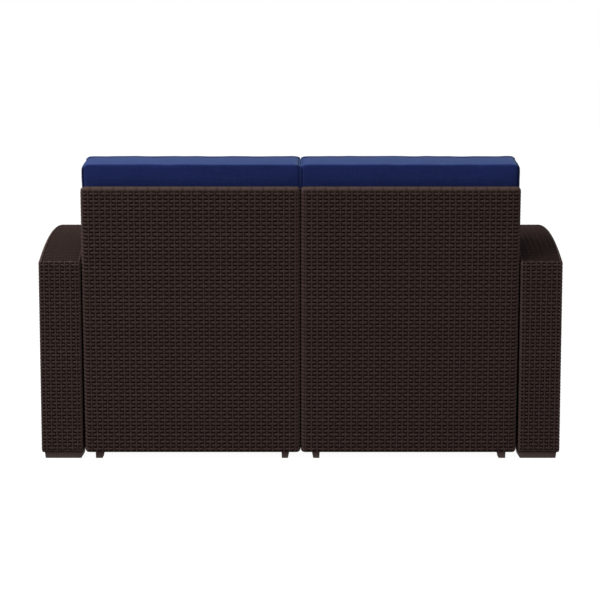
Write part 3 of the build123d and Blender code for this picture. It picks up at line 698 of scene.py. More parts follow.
def arm_shell(name, side):
    def place(p, w):
        return np.stack([side * (ARM_OUT - w), p[:, 0], p[:, 1]], 1)

    sh = Shell(place)
    cols = arm_columns()
    ids = sh.face(cols, arm_face_relief)
    lp = outline(cols, ids, ARM_R, arc_normal, steps=6)
    L = len(lp.vid)
    r = ARM_R
    prev = lp.vid
    up = (lp.region == 1) | (lp.region == 3)
    top = lp.region == 2
    low = lp.region == 0
    v_up = ARM_GAP0 - lp.s + 40 * ARM_ROW
    u_top = lp.s + ARM_Y - ARM_R - ARM_CELL / 2

    def rounding(reach, depth):
        h = np.full(L, -0.15)
        hb, tb = bead(v_up, ARM_ROW, depth, 0.3 * reach)
        ht, tt = bead(u_top + ARM_CELL / 2 + 40 * ARM_CELL, ARM_CELL, depth, 0.3 * reach)
        h = np.where(up, hb, np.where(top, ht, h))
        tone = np.where(up, tb, np.where(top, tt, 0.4))
        a = np.where(up, reach, u_top)
        b = np.where(up, v_up, reach)
        return h, coords(a, b, 0.0, tone)

    def ring_at(o, w, reach, phi, h, wv, flat=False):
        w = np.broadcast_to(np.asarray(w, float), L)
        return sh.ring(lp, prev, np.full(L, float(o)), w, reach, phi, h, wv, flat)

    n_turn = 5
    share = np.clip(np.abs(lp.turn) / (math.pi / 2), 0, 1)
    deep = np.where(top, r, np.where(low, 0.5 * r, 0.45 * r + 0.55 * r * share))
    for i in range(1, n_turn + 1):
        phi = math.pi / 2 * i / n_turn
        h, wv = rounding(r * phi, 0.9)
        prev = ring_at(r * math.sin(phi), deep * (1 - math.cos(phi)), r * phi, phi, h, wv)
    base = r * math.pi / 2 - r
    ws = []
    for j in range(7):
        g = REAR_GAP0 + REAR_RIB * j
        ws += [g] + [g + REAR_RIB / 2 + d for d in (-4.6, -3.0, -1.75, 1.75, 3.0, 4.6)]
    ws.append(REAR_GAP0 + REAR_RIB * 7)
    for w in ws:
        across_w = w - REAR_GAP0 - REAR_RIB / 2
        hu, rib_u, tone_u = weave(across_w, v_up, REAR_RIB, ARM_ROW)
        ht, rib_t, tone_t = weave(
            across_w, u_top + ARM_CELL / 2 + 60 * ARM_TOP_ROW, REAR_RIB, ARM_TOP_ROW,
            half=0.20, edge=0.41, dips=1.5,
        )
        ht = np.where(rib_t > 0.5, ht - 0.5, ht)
        h = np.where(up, hu, np.where(top, ht, -0.1))
        # painted shade: the arms' tops are darkened, their ribs a little more
        tone_t = -ARM_TOP_PAINTED_SHADE + 0.15 * tone_t - 0.12 * rib_t
        wv = np.where(
            up[:, None],
            coords(w, v_up, rib_u, tone_u),
            coords(w, u_top, rib_t, tone_t),
        )
        prev = ring_at(r, w, base + w, math.pi / 2, h, wv)
    for psi in (24.0, 46.0, 68.0, 86.0):
        a = math.radians(psi)
        h, wv = rounding(r * a, 0.7)
        if psi > 80:
            h = np.full(L, -0.05)
        prev = ring_at(
            r - R_SINK + R_SINK * math.cos(a), ARM_W - R_SIDE + R_SIDE * math.sin(a),
            base + ARM_W - r + r * a, math.pi / 2 + a, h, wv,
        )
    plain = coords(0.0, 0.0, 0.0, 0.3)
    end = base + ARM_W + r
    prev = ring_at(0.6, ARM_W - 0.15, end + 2, math.pi / 2, 0.0, plain, True)
    prev = ring_at(0.6, ARM_W - 3.9, end + 3, math.pi / 2, 0.0, plain, True)
    prev = ring_at(r - 4.0, ARM_W - 3.9, end + 6, math.pi / 2, 0.0, plain, True)
    prev = ring_at(r - 4.0, 4.0, end + 12, math.pi / 2, 0.0, plain, True)
    sh.cap(prev)
    return sh.build(name, WICKER)


def arm_panel(name, side):
    def place(p, w):
        return np.stack([side * (ARM_IN + w), p[:, 0], p[:, 1]], 1)

    sh = Shell(place)
    cols = arm_columns(coarse_below=262.0)

    def relief(c):
        h, wv = arm_face_relief(c)
        h = np.where(c[:, 1] < 262.0, np.maximum(h, -0.8), h)
        return h, wv

    ids = sh.face(cols, relief)
    lp = outline(cols, ids, ARM_R, arc_normal, steps=3)
    L = len(lp.vid)
    plain = coords(0.0, 0.0, 0.0, 0.4)
    prev = lp.vid
    prev = sh.ring(lp, prev, np.full(L, 0.25), np.full(L, 0.3), 0.4, 0.0, -0.1, plain)
    prev = sh.ring(lp, prev, np.full(L, 0.4), np.full(L, 0.8), 1.0, 0.0, 0.0, plain, flat=True)
    prev = sh.ring(lp, prev, np.full(L, 0.4), np.full(L, 4.0), 4.0, 0.0, 0.0, plain, flat=True)
    sh.cap(prev)
    return sh.build(name, WICKER)


def add_box(ob, lo, hi):
    """Adds a plain closed box (mm) to a mesh object made above."""
    me = ob.data
    x0, y0, z0 = lo
    x1, y1, z1 = hi
    co = [(x, y, z) for x in (x0, x1) for y in (y0, y1) for z in (z0, z1)]
    quads = [(0, 1, 3, 2), (4, 6, 7, 5), (0, 4, 5, 1), (2, 3, 7, 6), (0, 2, 6, 4), (1, 5, 7, 3)]
    other = bpy.data.meshes.new("box")
    other.from_pydata([tuple(c * MM for c in p) for p in co], [], quads)
    uv = other.uv_layers.new(name="OFBake")
    n = len(uv.data)
    uv.data.foreach_set("uv", np.tile([0.002, 0.002, 0.02, 0.002, 0.02, 0.02, 0.002, 0.02], n // 4))
    import bmesh

    bm = bmesh.new()
    bm.from_mesh(me)
    bm.from_mesh(other)
    bm.to_mesh(me)
    bm.free()
    bpy.data.meshes.remove(other)


for s, side in SIDES:
    shell = module_shell(
        f"back_{s}_woven_shell", side, 360.0, -1.0, BACK_LOW, BACK_TOP, BACK_GAP0, 10.0,
        lambda z: 360.0 - front_y(z), True,
    )
    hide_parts(f"back_{s}_rear_shell")
    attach(shell, "frame")

    apron = module_shell(
        f"front_{s}_woven_apron", side, -342.0, 1.0, BACK_LOW, 300.0, 286.75, 6.0,
        lambda z: np.full_like(z, 30.0), False,
    )
    add_box(apron, (min(side * 2.3, side * 584.4), -338.1, 266.0), (max(side * 2.3, side * 584.4), -298.0, 270.0))
    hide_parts(f"front_apron_{s}")
    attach(apron, "frame")

    arm = arm_shell(f"arm_{s}_woven_shell", side)
    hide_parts(f"arm_{s}_outer_shell")
    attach(arm, "frame")

    panel = arm_panel(f"arm_{s}_woven_panel", side)
    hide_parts(f"arm_{s}_inner_panel")
    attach(panel, "frame")


# --------------------------------------------------------------------- cushions
C10, S10 = math.cos(math.radians(10)), math.sin(math.radians(10))
CX0, CX1 = 1.6, 584.8
R_CUSHION = 12.0


def grid_lines(length, step, wanted=()):
    """Lines from 0 to length, close together near the seams and the wanted ones."""
    near_seam = [0.0, 1.3, 3.5, 8.0, 14.0, 20.0, 27.0]
    if length < 150:
        near_seam = near_seam[:5]
    edge = near_seam[-1]
    fixed = near_seam + [length - q for q in near_seam] + list(wanted)
    n = max(2, int(round((length - 2 * edge) / step)))
    free = [edge + (length - 2 * edge) * i / n for i in range(1, n)]
    free = [f for f in free if min(abs(f - w) for w in fixed) > 0.45 * step]
    return np.array(sorted(set(np.round(fixed + free, 4))))


class Box:
    """A boxed cushion on a lattice with axes a (across), b and c (thickness)."""

    def __init__(self, a, b, c):
        self.lines = [np.asarray(q, float) for q in (a, b, c)]
        na, nb, nc = (len(q) for q in self.lines)
        idx = -np.ones((na, nb, nc), int)
        grid = np.stack(np.meshgrid(np.arange(na), np.arange(nb), np.arange(nc), indexing="ij"), -1)
        outer = (
            (grid[..., 0] == 0) | (grid[..., 0] == na - 1) | (grid[..., 1] == 0)
            | (grid[..., 1] == nb - 1) | (grid[..., 2] == 0) | (grid[..., 2] == nc - 1)
        )
        self.ijk = grid[outer]
        idx[outer] = np.arange(len(self.ijk))
        self.idx = idx
        self.q = np.stack([self.lines[i][self.ijk[:, i]] for i in range(3)], 1)
        self.size = np.array([q[-1] for q in self.lines])
        faces, charts = [], []

        def side(view, chart, flip):
            f = np.stack([view[:-1, :-1], view[1:, :-1], view[1:, 1:], view[:-1, 1:]], -1).reshape(-1, 4)
            faces.append(f[:, ::-1] if flip else f)
            charts.append(np.full(len(f), chart))

        side(idx[:, :, 0], 0, True)
        side(idx[:, :, -1], 1, False)
        side(idx[:, 0, :], 2, False)
        side(idx[:, -1, :], 3, True)
        side(idx[0, :, :], 4, True)
        side(idx[-1, :, :], 5, False)
        self.faces = np.concatenate(faces)
        self.charts = np.concatenate(charts)

    def rounded(self, low, high, plan, shrink=0.0):
        """The box with corners of radius plan in the panels' plane and edges
        rounded by low and high at the two panels. Also returns the way outwards
        in that plane and the distance in from the outline."""
        q, size = self.q, self.size
        sign = np.where(q[:, :2] < size[:2] / 2, 1.0, -1.0)
        near = np.where(sign > 0, q[:, :2], size[:2] - q[:, :2])
        uv = plan - near
        corner = (uv > 0).all(1)
        m = uv.max(1)
        length = np.maximum(np.hypot(uv[:, 0], uv[:, 1]), 1e-9)
        side_a = uv[:, 0] > uv[:, 1]
        way = np.where(corner[:, None], uv / length[:, None], np.stack([side_a, ~side_a], 1).astype(float))
        near = np.where(corner[:, None], plan - uv * (m / length)[:, None], near)
        inset = plan - m
        r = np.where(q[:, 2] < size[2] / 2, low, high)
        level = np.minimum(q[:, 2], size[2] - q[:, 2])
        de, dc = np.maximum(r - inset, 0.0), np.maximum(r - level, 0.0)
        both = (de > 0) & (dc > 0)
        k = np.where(both, r / np.maximum(np.hypot(de, dc), 1e-9), 1.0)
        shift = np.where(both, de * (1 - k), 0.0)
        near = near + way * shift[:, None]
        level = np.where(both, r - dc * k, level)
        out = np.empty_like(q)
        out[:, :2] = np.where(sign > 0, near, size[:2] - near)
        out[:, 2] = np.where(q[:, 2] < size[2] / 2, level, size[2] - level)
        return shrink + out * (size - 2 * shrink) / size, -sign * way, inset

    def normals(self, p):
        """Vertex normals (outwards) of points on the lattice."""
        f = self.faces
        n = np.cross(p[f[:, 2]] - p[f[:, 0]], p[f[:, 3]] - p[f[:, 1]])
        total = np.zeros_like(p)
        for i in range(4):
            np.add.at(total, f[:, i], n)
        total /= np.maximum(np.linalg.norm(total, axis=1, keepdims=True), 1e-12)
        if ((p - p.mean(0)) * total).sum() < 0:
            total = -total
        return total

    def smooth(self, field, rounds):
        """Averages a field over neighbours on the lattice."""
        f = self.faces
        a = f.ravel()
        b = np.roll(f, -1, 1).ravel()
        count = np.zeros(len(self.q))
        np.add.at(count, a, 1.0)
        np.add.at(count, b, 1.0)
        out = field.copy()
        for _ in range(rounds):
            total = np.zeros_like(out)
            np.add.at(total, a, out[b])
            np.add.at(total, b, out[a])
            out = 0.5 * out + 0.5 * total / count[:, None]
        return out

    def end_seam(self, at):
        """Vertices of the open seam round the end panel at a = 0 or -1, without
        the run that lies on the high panel's seam."""
        i = self.idx[at]
        return np.concatenate([i[0, ::-1], i[1:-1, 0], i[-1, :]])

    def seam(self, k):
        """Vertices of the seam round the panel at lattice level k of axis c."""
        na, nb = len(self.lines[0]), len(self.lines[1])
        i = self.idx[:, :, k]
        return np.concatenate([i[:-1, 0], i[-1, :-1], i[:0:-1, -1], i[0, :0:-1]])

    def uv(self):
        """One chart for each of the six sides, laid out without overlap."""
        a, b, c = (self.q / self.size).T
        sa, sb, sc = self.size
        wide, tall = sa * 2 + 60, sb + 2 * sc + 80
        boxes = {
            0: (a, b, 0, 0, sa, sb), 1: (a, b, sa + 30, 0, sa, sb),
            2: (a, c, 0, sb + 20, sa, sc), 3: (a, c, sa + 30, sb + 20, sa, sc),
            4: (b, c, 0, sb + sc + 40, sb, sc), 5: (b, c, sa + 30, sb + sc + 40, sb, sc),
        }
        out = np.zeros((len(self.faces), 4, 2))
        for n, (u, v, x, y, w, h) in boxes.items():
            f = self.faces[self.charts == n]
            out[self.charts == n] = np.stack([(x + u[f] * w) / wide, (y + v[f] * h) / tall], -1)
        return 0.005 + 0.96 * out


def smooth_noise(p, seed, scale):
    """Gentle repeatable noise on points, as a sum of waves."""
    g = np.random.default_rng(seed)
    total = np.zeros(len(p))
    for _ in range(14):
        k = g.normal(size=3) / scale
        total += np.sin(p @ k + g.uniform(0, 2 * math.pi)) * g.uniform(0.4, 1.0)
    return total / 3.2


def inflate(jobs, frames=20):
    """Runs the cloth simulations together and returns each mesh's places (m)."""
    objs = []
    for name, co, faces, settings in jobs:
        me = bpy.data.meshes.new(name)
        me.from_pydata(co.tolist(), [], faces.tolist())
        ob = bpy.data.objects.new(name, me)
        scene.collection.objects.link(ob)
        cloth = ob.modifiers.new("Cloth", "CLOTH")
        cs = cloth.settings
        cs.quality = 6
        cs.mass = 0.25
        cs.air_damping = 2.0
        cs.tension_stiffness = settings.get("tension", 12.0)
        cs.compression_stiffness = settings.get("compression", 10.0)
        cs.shear_stiffness = 6.0
        cs.bending_stiffness = settings.get("bending", 1.2)
        cs.use_pressure = True
        cs.uniform_pressure_force = settings.get("pressure", 4.0)
        cs.effector_weights.gravity = 0.0
        cloth.collision_settings.use_collision = False
        cloth.point_cache.frame_start = 1
        cloth.point_cache.frame_end = frames
        objs.append(ob)
    for f in range(1, frames + 1):
        scene.frame_set(f)
    dg = bpy.context.evaluated_depsgraph_get()
    out = []
    for ob in objs:
        ev = ob.evaluated_get(dg)
        co = np.zeros(len(ev.data.vertices) * 3, np.float32)
        ev.data.vertices.foreach_get("co", co)
        out.append(co.reshape(-1, 3).astype(float))
    for ob in objs:
        me = ob.data
        bpy.data.objects.remove(ob)
        bpy.data.meshes.remove(me)
    scene.frame_set(1)
    return out


def tube(points, radius, sides=8):
    """A closed tube along a closed line of points (mm)."""
    p = np.asarray(points, float)
    n = len(p)
    t = np.roll(p, -1, 0) - np.roll(p, 1, 0)
    t /= np.linalg.norm(t, axis=1, keepdims=True)
    ref = np.cross(t[0], [0.3, 0.5, 0.8])
    ref /= np.linalg.norm(ref)
    normals = [ref]
    for i in range(1, n):
        v = normals[-1] - t[i] * (normals[-1] @ t[i])
        normals.append(v / np.linalg.norm(v))
    normals = np.array(normals)
    # take out the twist left over after one turn
    v = normals[-1] - t[0] * (normals[-1] @ t[0])
    v /= np.linalg.norm(v)
    twist = math.atan2(np.cross(normals[0], v) @ t[0], normals[0] @ v)
    binormals = np.cross(t, normals)
    ring = []
    for i in range(n):
        a0 = -twist * i / n
        a = a0 + 2 * math.pi * np.arange(sides) / sides
        ring.append(p[i] + radius * (np.cos(a)[:, None] * normals[i] + np.sin(a)[:, None] * binormals[i]))
    co = np.concatenate(ring)
    faces, uvs = [], []
    for i in range(n):
        j = (i + 1) % n
        for k in range(sides):
            m = (k + 1) % sides
            faces.append((i * sides + k, i * sides + m, j * sides + m, j * sides + k))
            uvs.append(((i / n, k / sides), (i / n, (k + 1) / sides), ((i + 1) / n, (k + 1) / sides), ((i + 1) / n, k / sides)))
    return co, np.array(faces), np.array(uvs)


ZIP_X0, ZIP_X1 = 43.2, 543.2
SEAT = {"y0": -352.0, "y1": 234.0, "z0": 300.4, "z1": 418.0}
BACK_T, BACK_SEAM, BACK_BOTTOM = 112.0, 795.0, 418.5
REAR_TOP = (360.0 - 39.4 - (BACK_TOP - BACK_SEAM) * TAN10 - 1.2 / C10, BACK_SEAM)
FRONT_TOP = (REAR_TOP[0] - BACK_T * C10, REAR_TOP[1] + BACK_T * S10)
REAR_LOW = (REAR_TOP[0] - (REAR_TOP[1] - BACK_BOTTOM) * TAN10, BACK_BOTTOM)
FRONT_LOW = (FRONT_TOP[0] - (FRONT_TOP[1] - BACK_BOTTOM) * TAN10, BACK_BOTTOM)
BACK_LEN = (BACK_SEAM - BACK_BOTTOM) / C10
BACK_ZIP_Y = (REAR_LOW[0] + FRONT_LOW[0]) / 2


def seat_place(q):
    return np.stack([CX0 + q[:, 0], SEAT["y0"] + q[:, 1], SEAT["z0"] + q[:, 2]], 1)


def back_place(q):
    """q: across, up the rear face, forward through the thickness."""
    t, c = q[:, 1] / BACK_LEN, q[:, 2] / BACK_T
    rear = np.outer(1 - t, REAR_LOW) + np.outer(t, REAR_TOP)
    front = np.outer(1 - t, FRONT_LOW) + np.outer(t, FRONT_TOP)
    yz = rear * (1 - c)[:, None] + front * c[:, None]
    return np.stack([CX0 + q[:, 0], yz[:, 0], yz[:, 1]], 1)


def face_distance(p):
    """Distance in front of a back module's reclined front face."""
    y_face = 360.0 - 39.4 - (BACK_TOP - p[:, 2]) * TAN10
    return (y_face - p[:, 1]) * C10


# The two cushions of a pair press flat against each other at X = 0, so that one
# can be lifted past the other. The hair between them lets no light through.
MEETING = 0.01


def seat_limits(p):
    """Keeps a seat cushion clear of what it lies on and between."""
    p[:, 2] = np.maximum(p[:, 2], 300.45)
    p[:, 0] = np.minimum(p[:, 0], 586.4)
    p[:, 0] = np.maximum(p[:, 0], MEETING)
    p[:, 1] = np.minimum(p[:, 1], 237.0)
    # flat where the back cushion stands on it
    under = 1 - np.clip((150.0 - p[:, 1]) / 34.0, 0, 1)
    under = under * under * (3 - 2 * under)
    high = 418.2 + (1 - under) * 40.0
    p[:, 2] = np.minimum(p[:, 2], high)
    return p


def back_limits(p):
    p[:, 2] = np.maximum(p[:, 2], 418.6)
    p[:, 0] = np.maximum(p[:, 0], MEETING)
    room = 586.4 + 4.6 * np.clip((p[:, 2] - 606.0) / 30.0, 0, 1)
    p[:, 0] = np.minimum(p[:, 0], room)
    d = face_distance(p)
    room = 0.9 - 4.9 * np.clip((p[:, 2] - 735.0) / 22.0, 0, 1)
    push = np.maximum(room - d, 0.0)
    p[:, 1] -= push * C10
    p[:, 2] += push * S10
    return p


def groove(p, q, kind):
    """Recesses the pocket that holds the zip, on the side named by kind."""
    a, b, c = q.T
    along = (a > ZIP_X0 - CX0 + 0.2) & (a < ZIP_X1 - CX0 - 0.2)
    if kind == "seat":
        mid = SEAT["z1"] - SEAT["z0"]
        inside = along & (np.abs(c - mid / 2) < 15.8) & (b > SEAT["y1"] - SEAT["y0"] - 0.5)
        near = (a > ZIP_X0 - CX0 - 3) & (a < ZIP_X1 - CX0 + 3) & (np.abs(c - mid / 2) < 19.5) & (b > SEAT["y1"] - SEAT["y0"] - 0.5)
        p[near, 1] = np.maximum(p[near, 1], 234.0)
        p[inside, 1] = 227.7
        p[near, 2] = SEAT["z0"] + c[near]
    else:
        inside = along & (np.abs(c - BACK_T / 2) < 15.8 * 1.0) & (b < 0.5)
        near = (a > ZIP_X0 - CX0 - 3) & (a < ZIP_X1 - CX0 + 3) & (np.abs(c - BACK_T / 2) < 19.5) & (b < 0.5)
        p[near, 2] = 418.6
        y = REAR_LOW[0] + (FRONT_LOW[0] - REAR_LOW[0]) * c / BACK_T
        p[near, 1] = y[near]
        p[inside, 2] = 424.8
    p[near, 0] = CX0 + a[near]
    return p


def cushion(kind, s, side, box, places, seed, settings):
    """Shapes the simulated box, adds the seams, and makes the object."""
    name = f"{kind}_cushion_{s}_cover_sewn"
    place = seat_place if kind == "seat" else back_place
    q, size = box.q, box.size
    local, way, inset = box.rounded(settings["low"], settings["high"], settings["plan"])
    if kind == "seat":
        axes = np.eye(3)
    else:
        axes = np.array([[1, 0, 0], [0, S10, C10], [0, -C10, S10]], float)
    rel = q / size
    level = local[:, 2] / size[2]
    # how far along its side of the outline a point is, 0 at the corners
    ends = np.abs(way[:, 0]) > np.abs(way[:, 1])
    along = np.where(ends, rel[:, 1], rel[:, 0])
    along = np.clip(np.minimum(along, 1 - along) * np.where(ends, size[1], size[0]) / 45.0, 0, 1)
    along = along * (2 - along)
    # boxing swells outwards between the seams
    near_rim = np.clip(1 - inset / 16.0, 0, 1)
    swell = np.where(
        ends, np.where(way[:, 0] < 0, settings["bulge"][0], settings["bulge"][1]),
        np.where(way[:, 1] < 0, settings["bulge"][2], settings["bulge"][3]),
    )
    swell = swell * 4 * level * (1 - level) * along * near_rim
    local[:, :2] += way * swell[:, None]
    # the high panel's seam pulls in a little between the corners
    pull = settings["pull"] * along * np.exp(-((size[2] - q[:, 2]) / 16.0) ** 2) * near_rim
    pull = np.where(~ends & (way[:, 1] > 0), 0.0, pull)
    local[:, :2] -= way * pull[:, None]
    # the inner end is pressed out against the other cushion
    t = np.clip(1 - q[:, 0] / 120.0, 0, 1)
    local[:, 0] -= settings["press"] * t * t
    # the high panel's outer edge rises at the far end
    t = np.clip((rel[:, 1] - 0.8) / 0.2, 0, 1)
    far = 0.7 if side < 0 else 0.9
    off = np.maximum(1 - np.clip(q[:, 0] / 26.0, 0, 1), far * (1 - np.clip((size[0] - q[:, 0]) / 24.0, 0, 1)))
    local[:, 1] += settings["rise"] * t * (1 - off**2)
    local[:, 1] -= t * (settings["lower"][0] * (1 - rel[:, 2]) + settings["lower"][1] * rel[:, 2])
    start, end = places
    if end is None:
        # stand-in for the simulation while trying things
        f = (np.sin(np.pi * rel[:, 0]) * np.sin(np.pi * rel[:, 1])) ** 0.5
        face = np.where(rel[:, 2] < 1e-6, -1.0, np.where(rel[:, 2] > 1 - 1e-6, 1.0, 0.0))
        d = np.zeros_like(q)
        d[:, 2] = 110 * f * face
        puckers = np.zeros_like(q)
    else:
        d = (end - start) / MM @ axes.T
        puckers = d - box.smooth(d, 14)
    cap = np.where(d[:, 2] > 0, settings["crown"], settings["under"])
    local[:, 2] += np.sign(d[:, 2]) * cap * (1 - np.exp(-np.abs(d[:, 2]) / 60.0))
    base = place(local)
    n = box.normals(base)
    fold = np.clip((puckers @ axes * n).sum(1), -9, 9) * settings["pucker"]
    # soft hollows and swells that a used foam cushion has
    sway = smooth_noise(base, seed, 95.0) * settings["sway"]
    # short gathers along the high panel's seam
    rim = np.exp(-(inset / 16.0) ** 2) * np.exp(-((size[2] - q[:, 2]) / 18.0) ** 2)
    gather = smooth_noise(base, seed + 3, 11.0) * settings["gather"] * rim
    p = base + n * (fold + sway + gather)[:, None]
    # the seams sink in, and the cloth beside them stands up
    sink = np.zeros(len(p))
    high = box.seam(-1)
    beside = (inset < 1e-6) & (np.abs(size[2] - q[:, 2] - 3.5) < 0.01)
    beside |= (q[:, 2] > size[2] - 1e-6) & (np.abs(np.minimum(q[:, 0], size[0] - q[:, 0]) - 3.5) < 0.01)
    beside |= (q[:, 2] > size[2] - 1e-6) & (np.abs(np.minimum(q[:, 1], size[1] - q[:, 1]) - 3.5) < 0.01)
    sink[beside] = -settings["crease"]
    # the end panels' seams: pressed round from the end where two cushions meet
    ends_seams = [
        box.end_seam(int(np.argmin(np.abs(box.lines[0] - 8.0)))),
        box.end_seam(int(np.argmin(np.abs(box.lines[0] - (size[0] - 3.5))))),
    ]
    # painted shade: how much the cloth's colour darkens along the seams' creases, beside the cord and along the
    # outer end's edge at the low panel
    dark = np.zeros(len(p))
    for line in ends_seams:
        sink[line] = -settings["sink"]
        dark[line] = 0.8
    lip = (size[0] - q[:, 0] < 1.4) & (q[:, 2] < 3.6)
    dark[lip] = 0.5
    dark[beside] = np.where(inset[beside] < 1e-6, 0.75, 0.5)
    near_high = (inset < 1e-6) & (np.abs(size[2] - q[:, 2] - 1.3) < 0.01)
    near_high |= (q[:, 2] > size[2] - 1e-6) & (np.abs(np.minimum(q[:, 0], size[0] - q[:, 0]) - 1.3) < 0.01)
    near_high |= (q[:, 2] > size[2] - 1e-6) & (np.abs(np.minimum(q[:, 1], size[1] - q[:, 1]) - 1.3) < 0.01)
    dark[near_high] = 0.9
    sink[near_high] = -0.8 * settings["crease"]
    p += n * sink[:, None]
    # dog-ears at the corners of the high panel
    for ca in (0, 1):
        for cb in (0, 1):
            corner = np.array([ca, cb, 1]) * size
            r2 = ((q - corner) ** 2).sum(1)
            out = np.array([ca * 2 - 1, cb * 2 - 1, 0.5])
            p += np.outer(settings["ear"] * np.exp(-r2 / 11.0**2), out @ axes)
    limit = seat_limits if kind == "seat" else back_limits
    p = limit(p)
    p = groove(p, q, kind)
    p[:, 0] *= side
    me = bpy.data.meshes.new(name)
    faces = box.faces if side > 0 else box.faces[:, ::-1]
    me.from_pydata((p * MM).tolist(), [], faces.tolist())
    uv = box.uv()
    if side < 0:
        uv = uv[:, ::-1]
    layer = me.uv_layers.new(name="OFBake")
    layer.data.foreach_set("uv", uv.astype(np.float32).ravel())
    seams = [high]
    on_seam = {}
    for a, b in zip(high, np.roll(high, -1)):
        on_seam[tuple(sorted((int(a), int(b))))] = True
    for line in ends_seams:
        for a, b in zip(line[:-1], line[1:]):
            on_seam[tuple(sorted((int(a), int(b))))] = True
    me.attributes.new("seam", "FLOAT", "POINT").data.foreach_set("value", dark.astype(np.float32))
    crease = me.attributes.new("crease_edge", "FLOAT", "EDGE")
    crease.data.foreach_set(
        "value", [1.0 if tuple(sorted(e.vertices)) in on_seam else 0.0 for e in me.edges]
    )
    ob = bpy.data.objects.new(name, me)
    scene.collection.objects.link(ob)
    sub = ob.modifiers.new("Subdivision", "SUBSURF")
    sub.levels = sub.render_levels = 1
    dg = bpy.context.evaluated_depsgraph_get()
    fine = bpy.data.meshes.new_from_object(ob.evaluated_get(dg), depsgraph=dg)
    bpy.data.objects.remove(ob)
    bpy.data.meshes.remove(me)
    co = np.zeros(len(fine.vertices) * 3, np.float32)
    fine.vertices.foreach_get("co", co)
    co = co.reshape(-1, 3).astype(float) / MM
    n_fine = len(fine.polygons)
    fv = np.zeros(n_fine * 4, np.int32)
    fine.polygons.foreach_get("vertices", fv)
    fv = fv.reshape(-1, 4)
    fuv = np.zeros(n_fine * 8, np.float32)
    fine.uv_layers["OFBake"].data.foreach_get("uv", fuv)
    fuv = fuv.reshape(-1, 4, 2)
    # the painted seam shade, carried over onto the finer mesh
    fdark = np.zeros(len(co), np.float32)
    fine.attributes["seam"].data.foreach_get("value", fdark)
    bpy.data.meshes.remove(fine)
    # a slim cord of the same cloth is sewn into the high panel's seam
    all_co, all_f, all_uv = [co], [fv], [fuv]
    count = len(co)
    stand = box.normals(p)
    for n, loop in enumerate(seams):
        line = p[loop] + stand[loop] * settings["proud"]
        for _ in range(2):
            line = 0.75 * line + 0.125 * (np.roll(line, 1, 0) + np.roll(line, -1, 0))
        mid = (np.roll(line, 1, 0) * -1 + 9 * line + 9 * np.roll(line, -1, 0) - np.roll(line, -2, 0)) / 16
        line = np.stack([line, mid], 1).reshape(-1, 3)
        line[:, 0] = side * np.maximum(side * line[:, 0], settings["welt"] + 0.9)
        tc, tf, tu = tube(line, settings["welt"])
        all_co.append(tc)
        all_f.append(tf + count)
        tu = np.stack([0.005 + tu[..., 0] * 0.98, 0.968 + 0.014 * n + tu[..., 1] * 0.012], -1)
        all_uv.append(tu)
        count += len(tc)
    co, fv, fuv = np.concatenate(all_co), np.concatenate(all_f), np.concatenate(all_uv)
    me = bpy.data.meshes.new(name)
    me.from_pydata((co * MM).tolist(), [], fv.tolist())
    me.uv_layers.new(name="OFBake").data.foreach_set("uv", fuv.astype(np.float32).ravel())
    me.polygons.foreach_set("use_smooth", np.ones(len(fv), bool))
    fdark = np.concatenate([fdark, np.zeros(len(co) - len(fdark), np.float32)])
    me.attributes.new("seam", "FLOAT", "POINT").data.foreach_set("value", fdark)
    me.materials.append(FABRIC)
    import bmesh

    bm = bmesh.new()
    bm.from_mesh(me)
    bmesh.ops.recalc_face_normals(bm, faces=bm.faces)
    bm.to_mesh(me)
    bm.free()
    ob = bpy.data.objects.new(name, me)
    scene.collection.objects.link(ob)
    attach(ob, f"{kind}_cushion_{s}")
    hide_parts(f"{kind}_cushion_{s}_cover", f"{kind}_cushion_{s}_core")
    return ob


seam_lines = [6.9, 9.1]
zip_lines = seam_lines + [ZIP_X0 - CX0 - 1.4, ZIP_X0 - CX0 + 0.4, ZIP_X1 - CX0 - 0.4, ZIP_X1 - CX0 + 1.4]
width = CX1 - CX0


def thick_lines(t):
    m = t / 2
    return grid_lines(t, 11.0, [m - 18.6, m - 15.6, m, m + 15.6, m + 18.6])


boxes = {
    "seat": Box(
        grid_lines(width, 13.0, zip_lines), grid_lines(SEAT["y1"] - SEAT["y0"], 13.0),
        thick_lines(SEAT["z1"] - SEAT["z0"]),
    ),
    "back": Box(grid_lines(width, 13.0, zip_lines), grid_lines(BACK_LEN, 13.0), thick_lines(BACK_T)),
}
jobs, keys = [], []
for s, side in SIDES:
    for kind in ("seat", "back"):
        box = boxes[kind]
        place = seat_place if kind == "seat" else back_place
        start = place(box.rounded(R_CUSHION, R_CUSHION, 22.0, 6.0)[0])
        seed = {"left": 5, "right": 11}[s] + (0 if kind == "seat" else 40)
        start += 1.2 * np.stack([smooth_noise(start, seed + i, 30.0) for i in range(3)], 1)
        jobs.append((f"sim_{kind}_{s}", start * MM, box.faces, {"pressure": 4.0}))
        keys.append((kind, s, side, start * MM, seed))
results = inflate(jobs)
SHAPE = {
    "seat": {
        "low": 9.0, "high": 5.0, "plan": 14.0, "lower": (0.0, 0.0), "bulge": (3.0, 3.0, 5.0, 1.5), "pull": 2.2,
        "press": 3.0, "rise": 0.0, "crown": 20.0, "under": 6.0, "pucker": 0.22, "sway": 1.0,
        "gather": 0.5, "crease": 1.7, "sink": 2.6, "ear": 1.6, "welt": 2.1, "proud": 1.2,
    },
    "back": {
        "low": 5.5, "high": 4.0, "plan": 9.0, "bulge": (4.0, 5.6, 0.0, 2.0), "pull": 2.0, "lower": (9.0, 11.1),
        "press": 6.0, "rise": 5.5, "crown": 22.0, "under": 5.0, "pucker": 0.13, "sway": 0.6,
        "gather": 0.45, "crease": 1.7, "sink": 2.6, "ear": 1.6, "welt": 1.9, "proud": 1.2,
    },
}
for (kind, s, side, start, seed), end in zip(keys, results):
    cushion(kind, s, side, boxes[kind], (start, end), seed, SHAPE[kind])

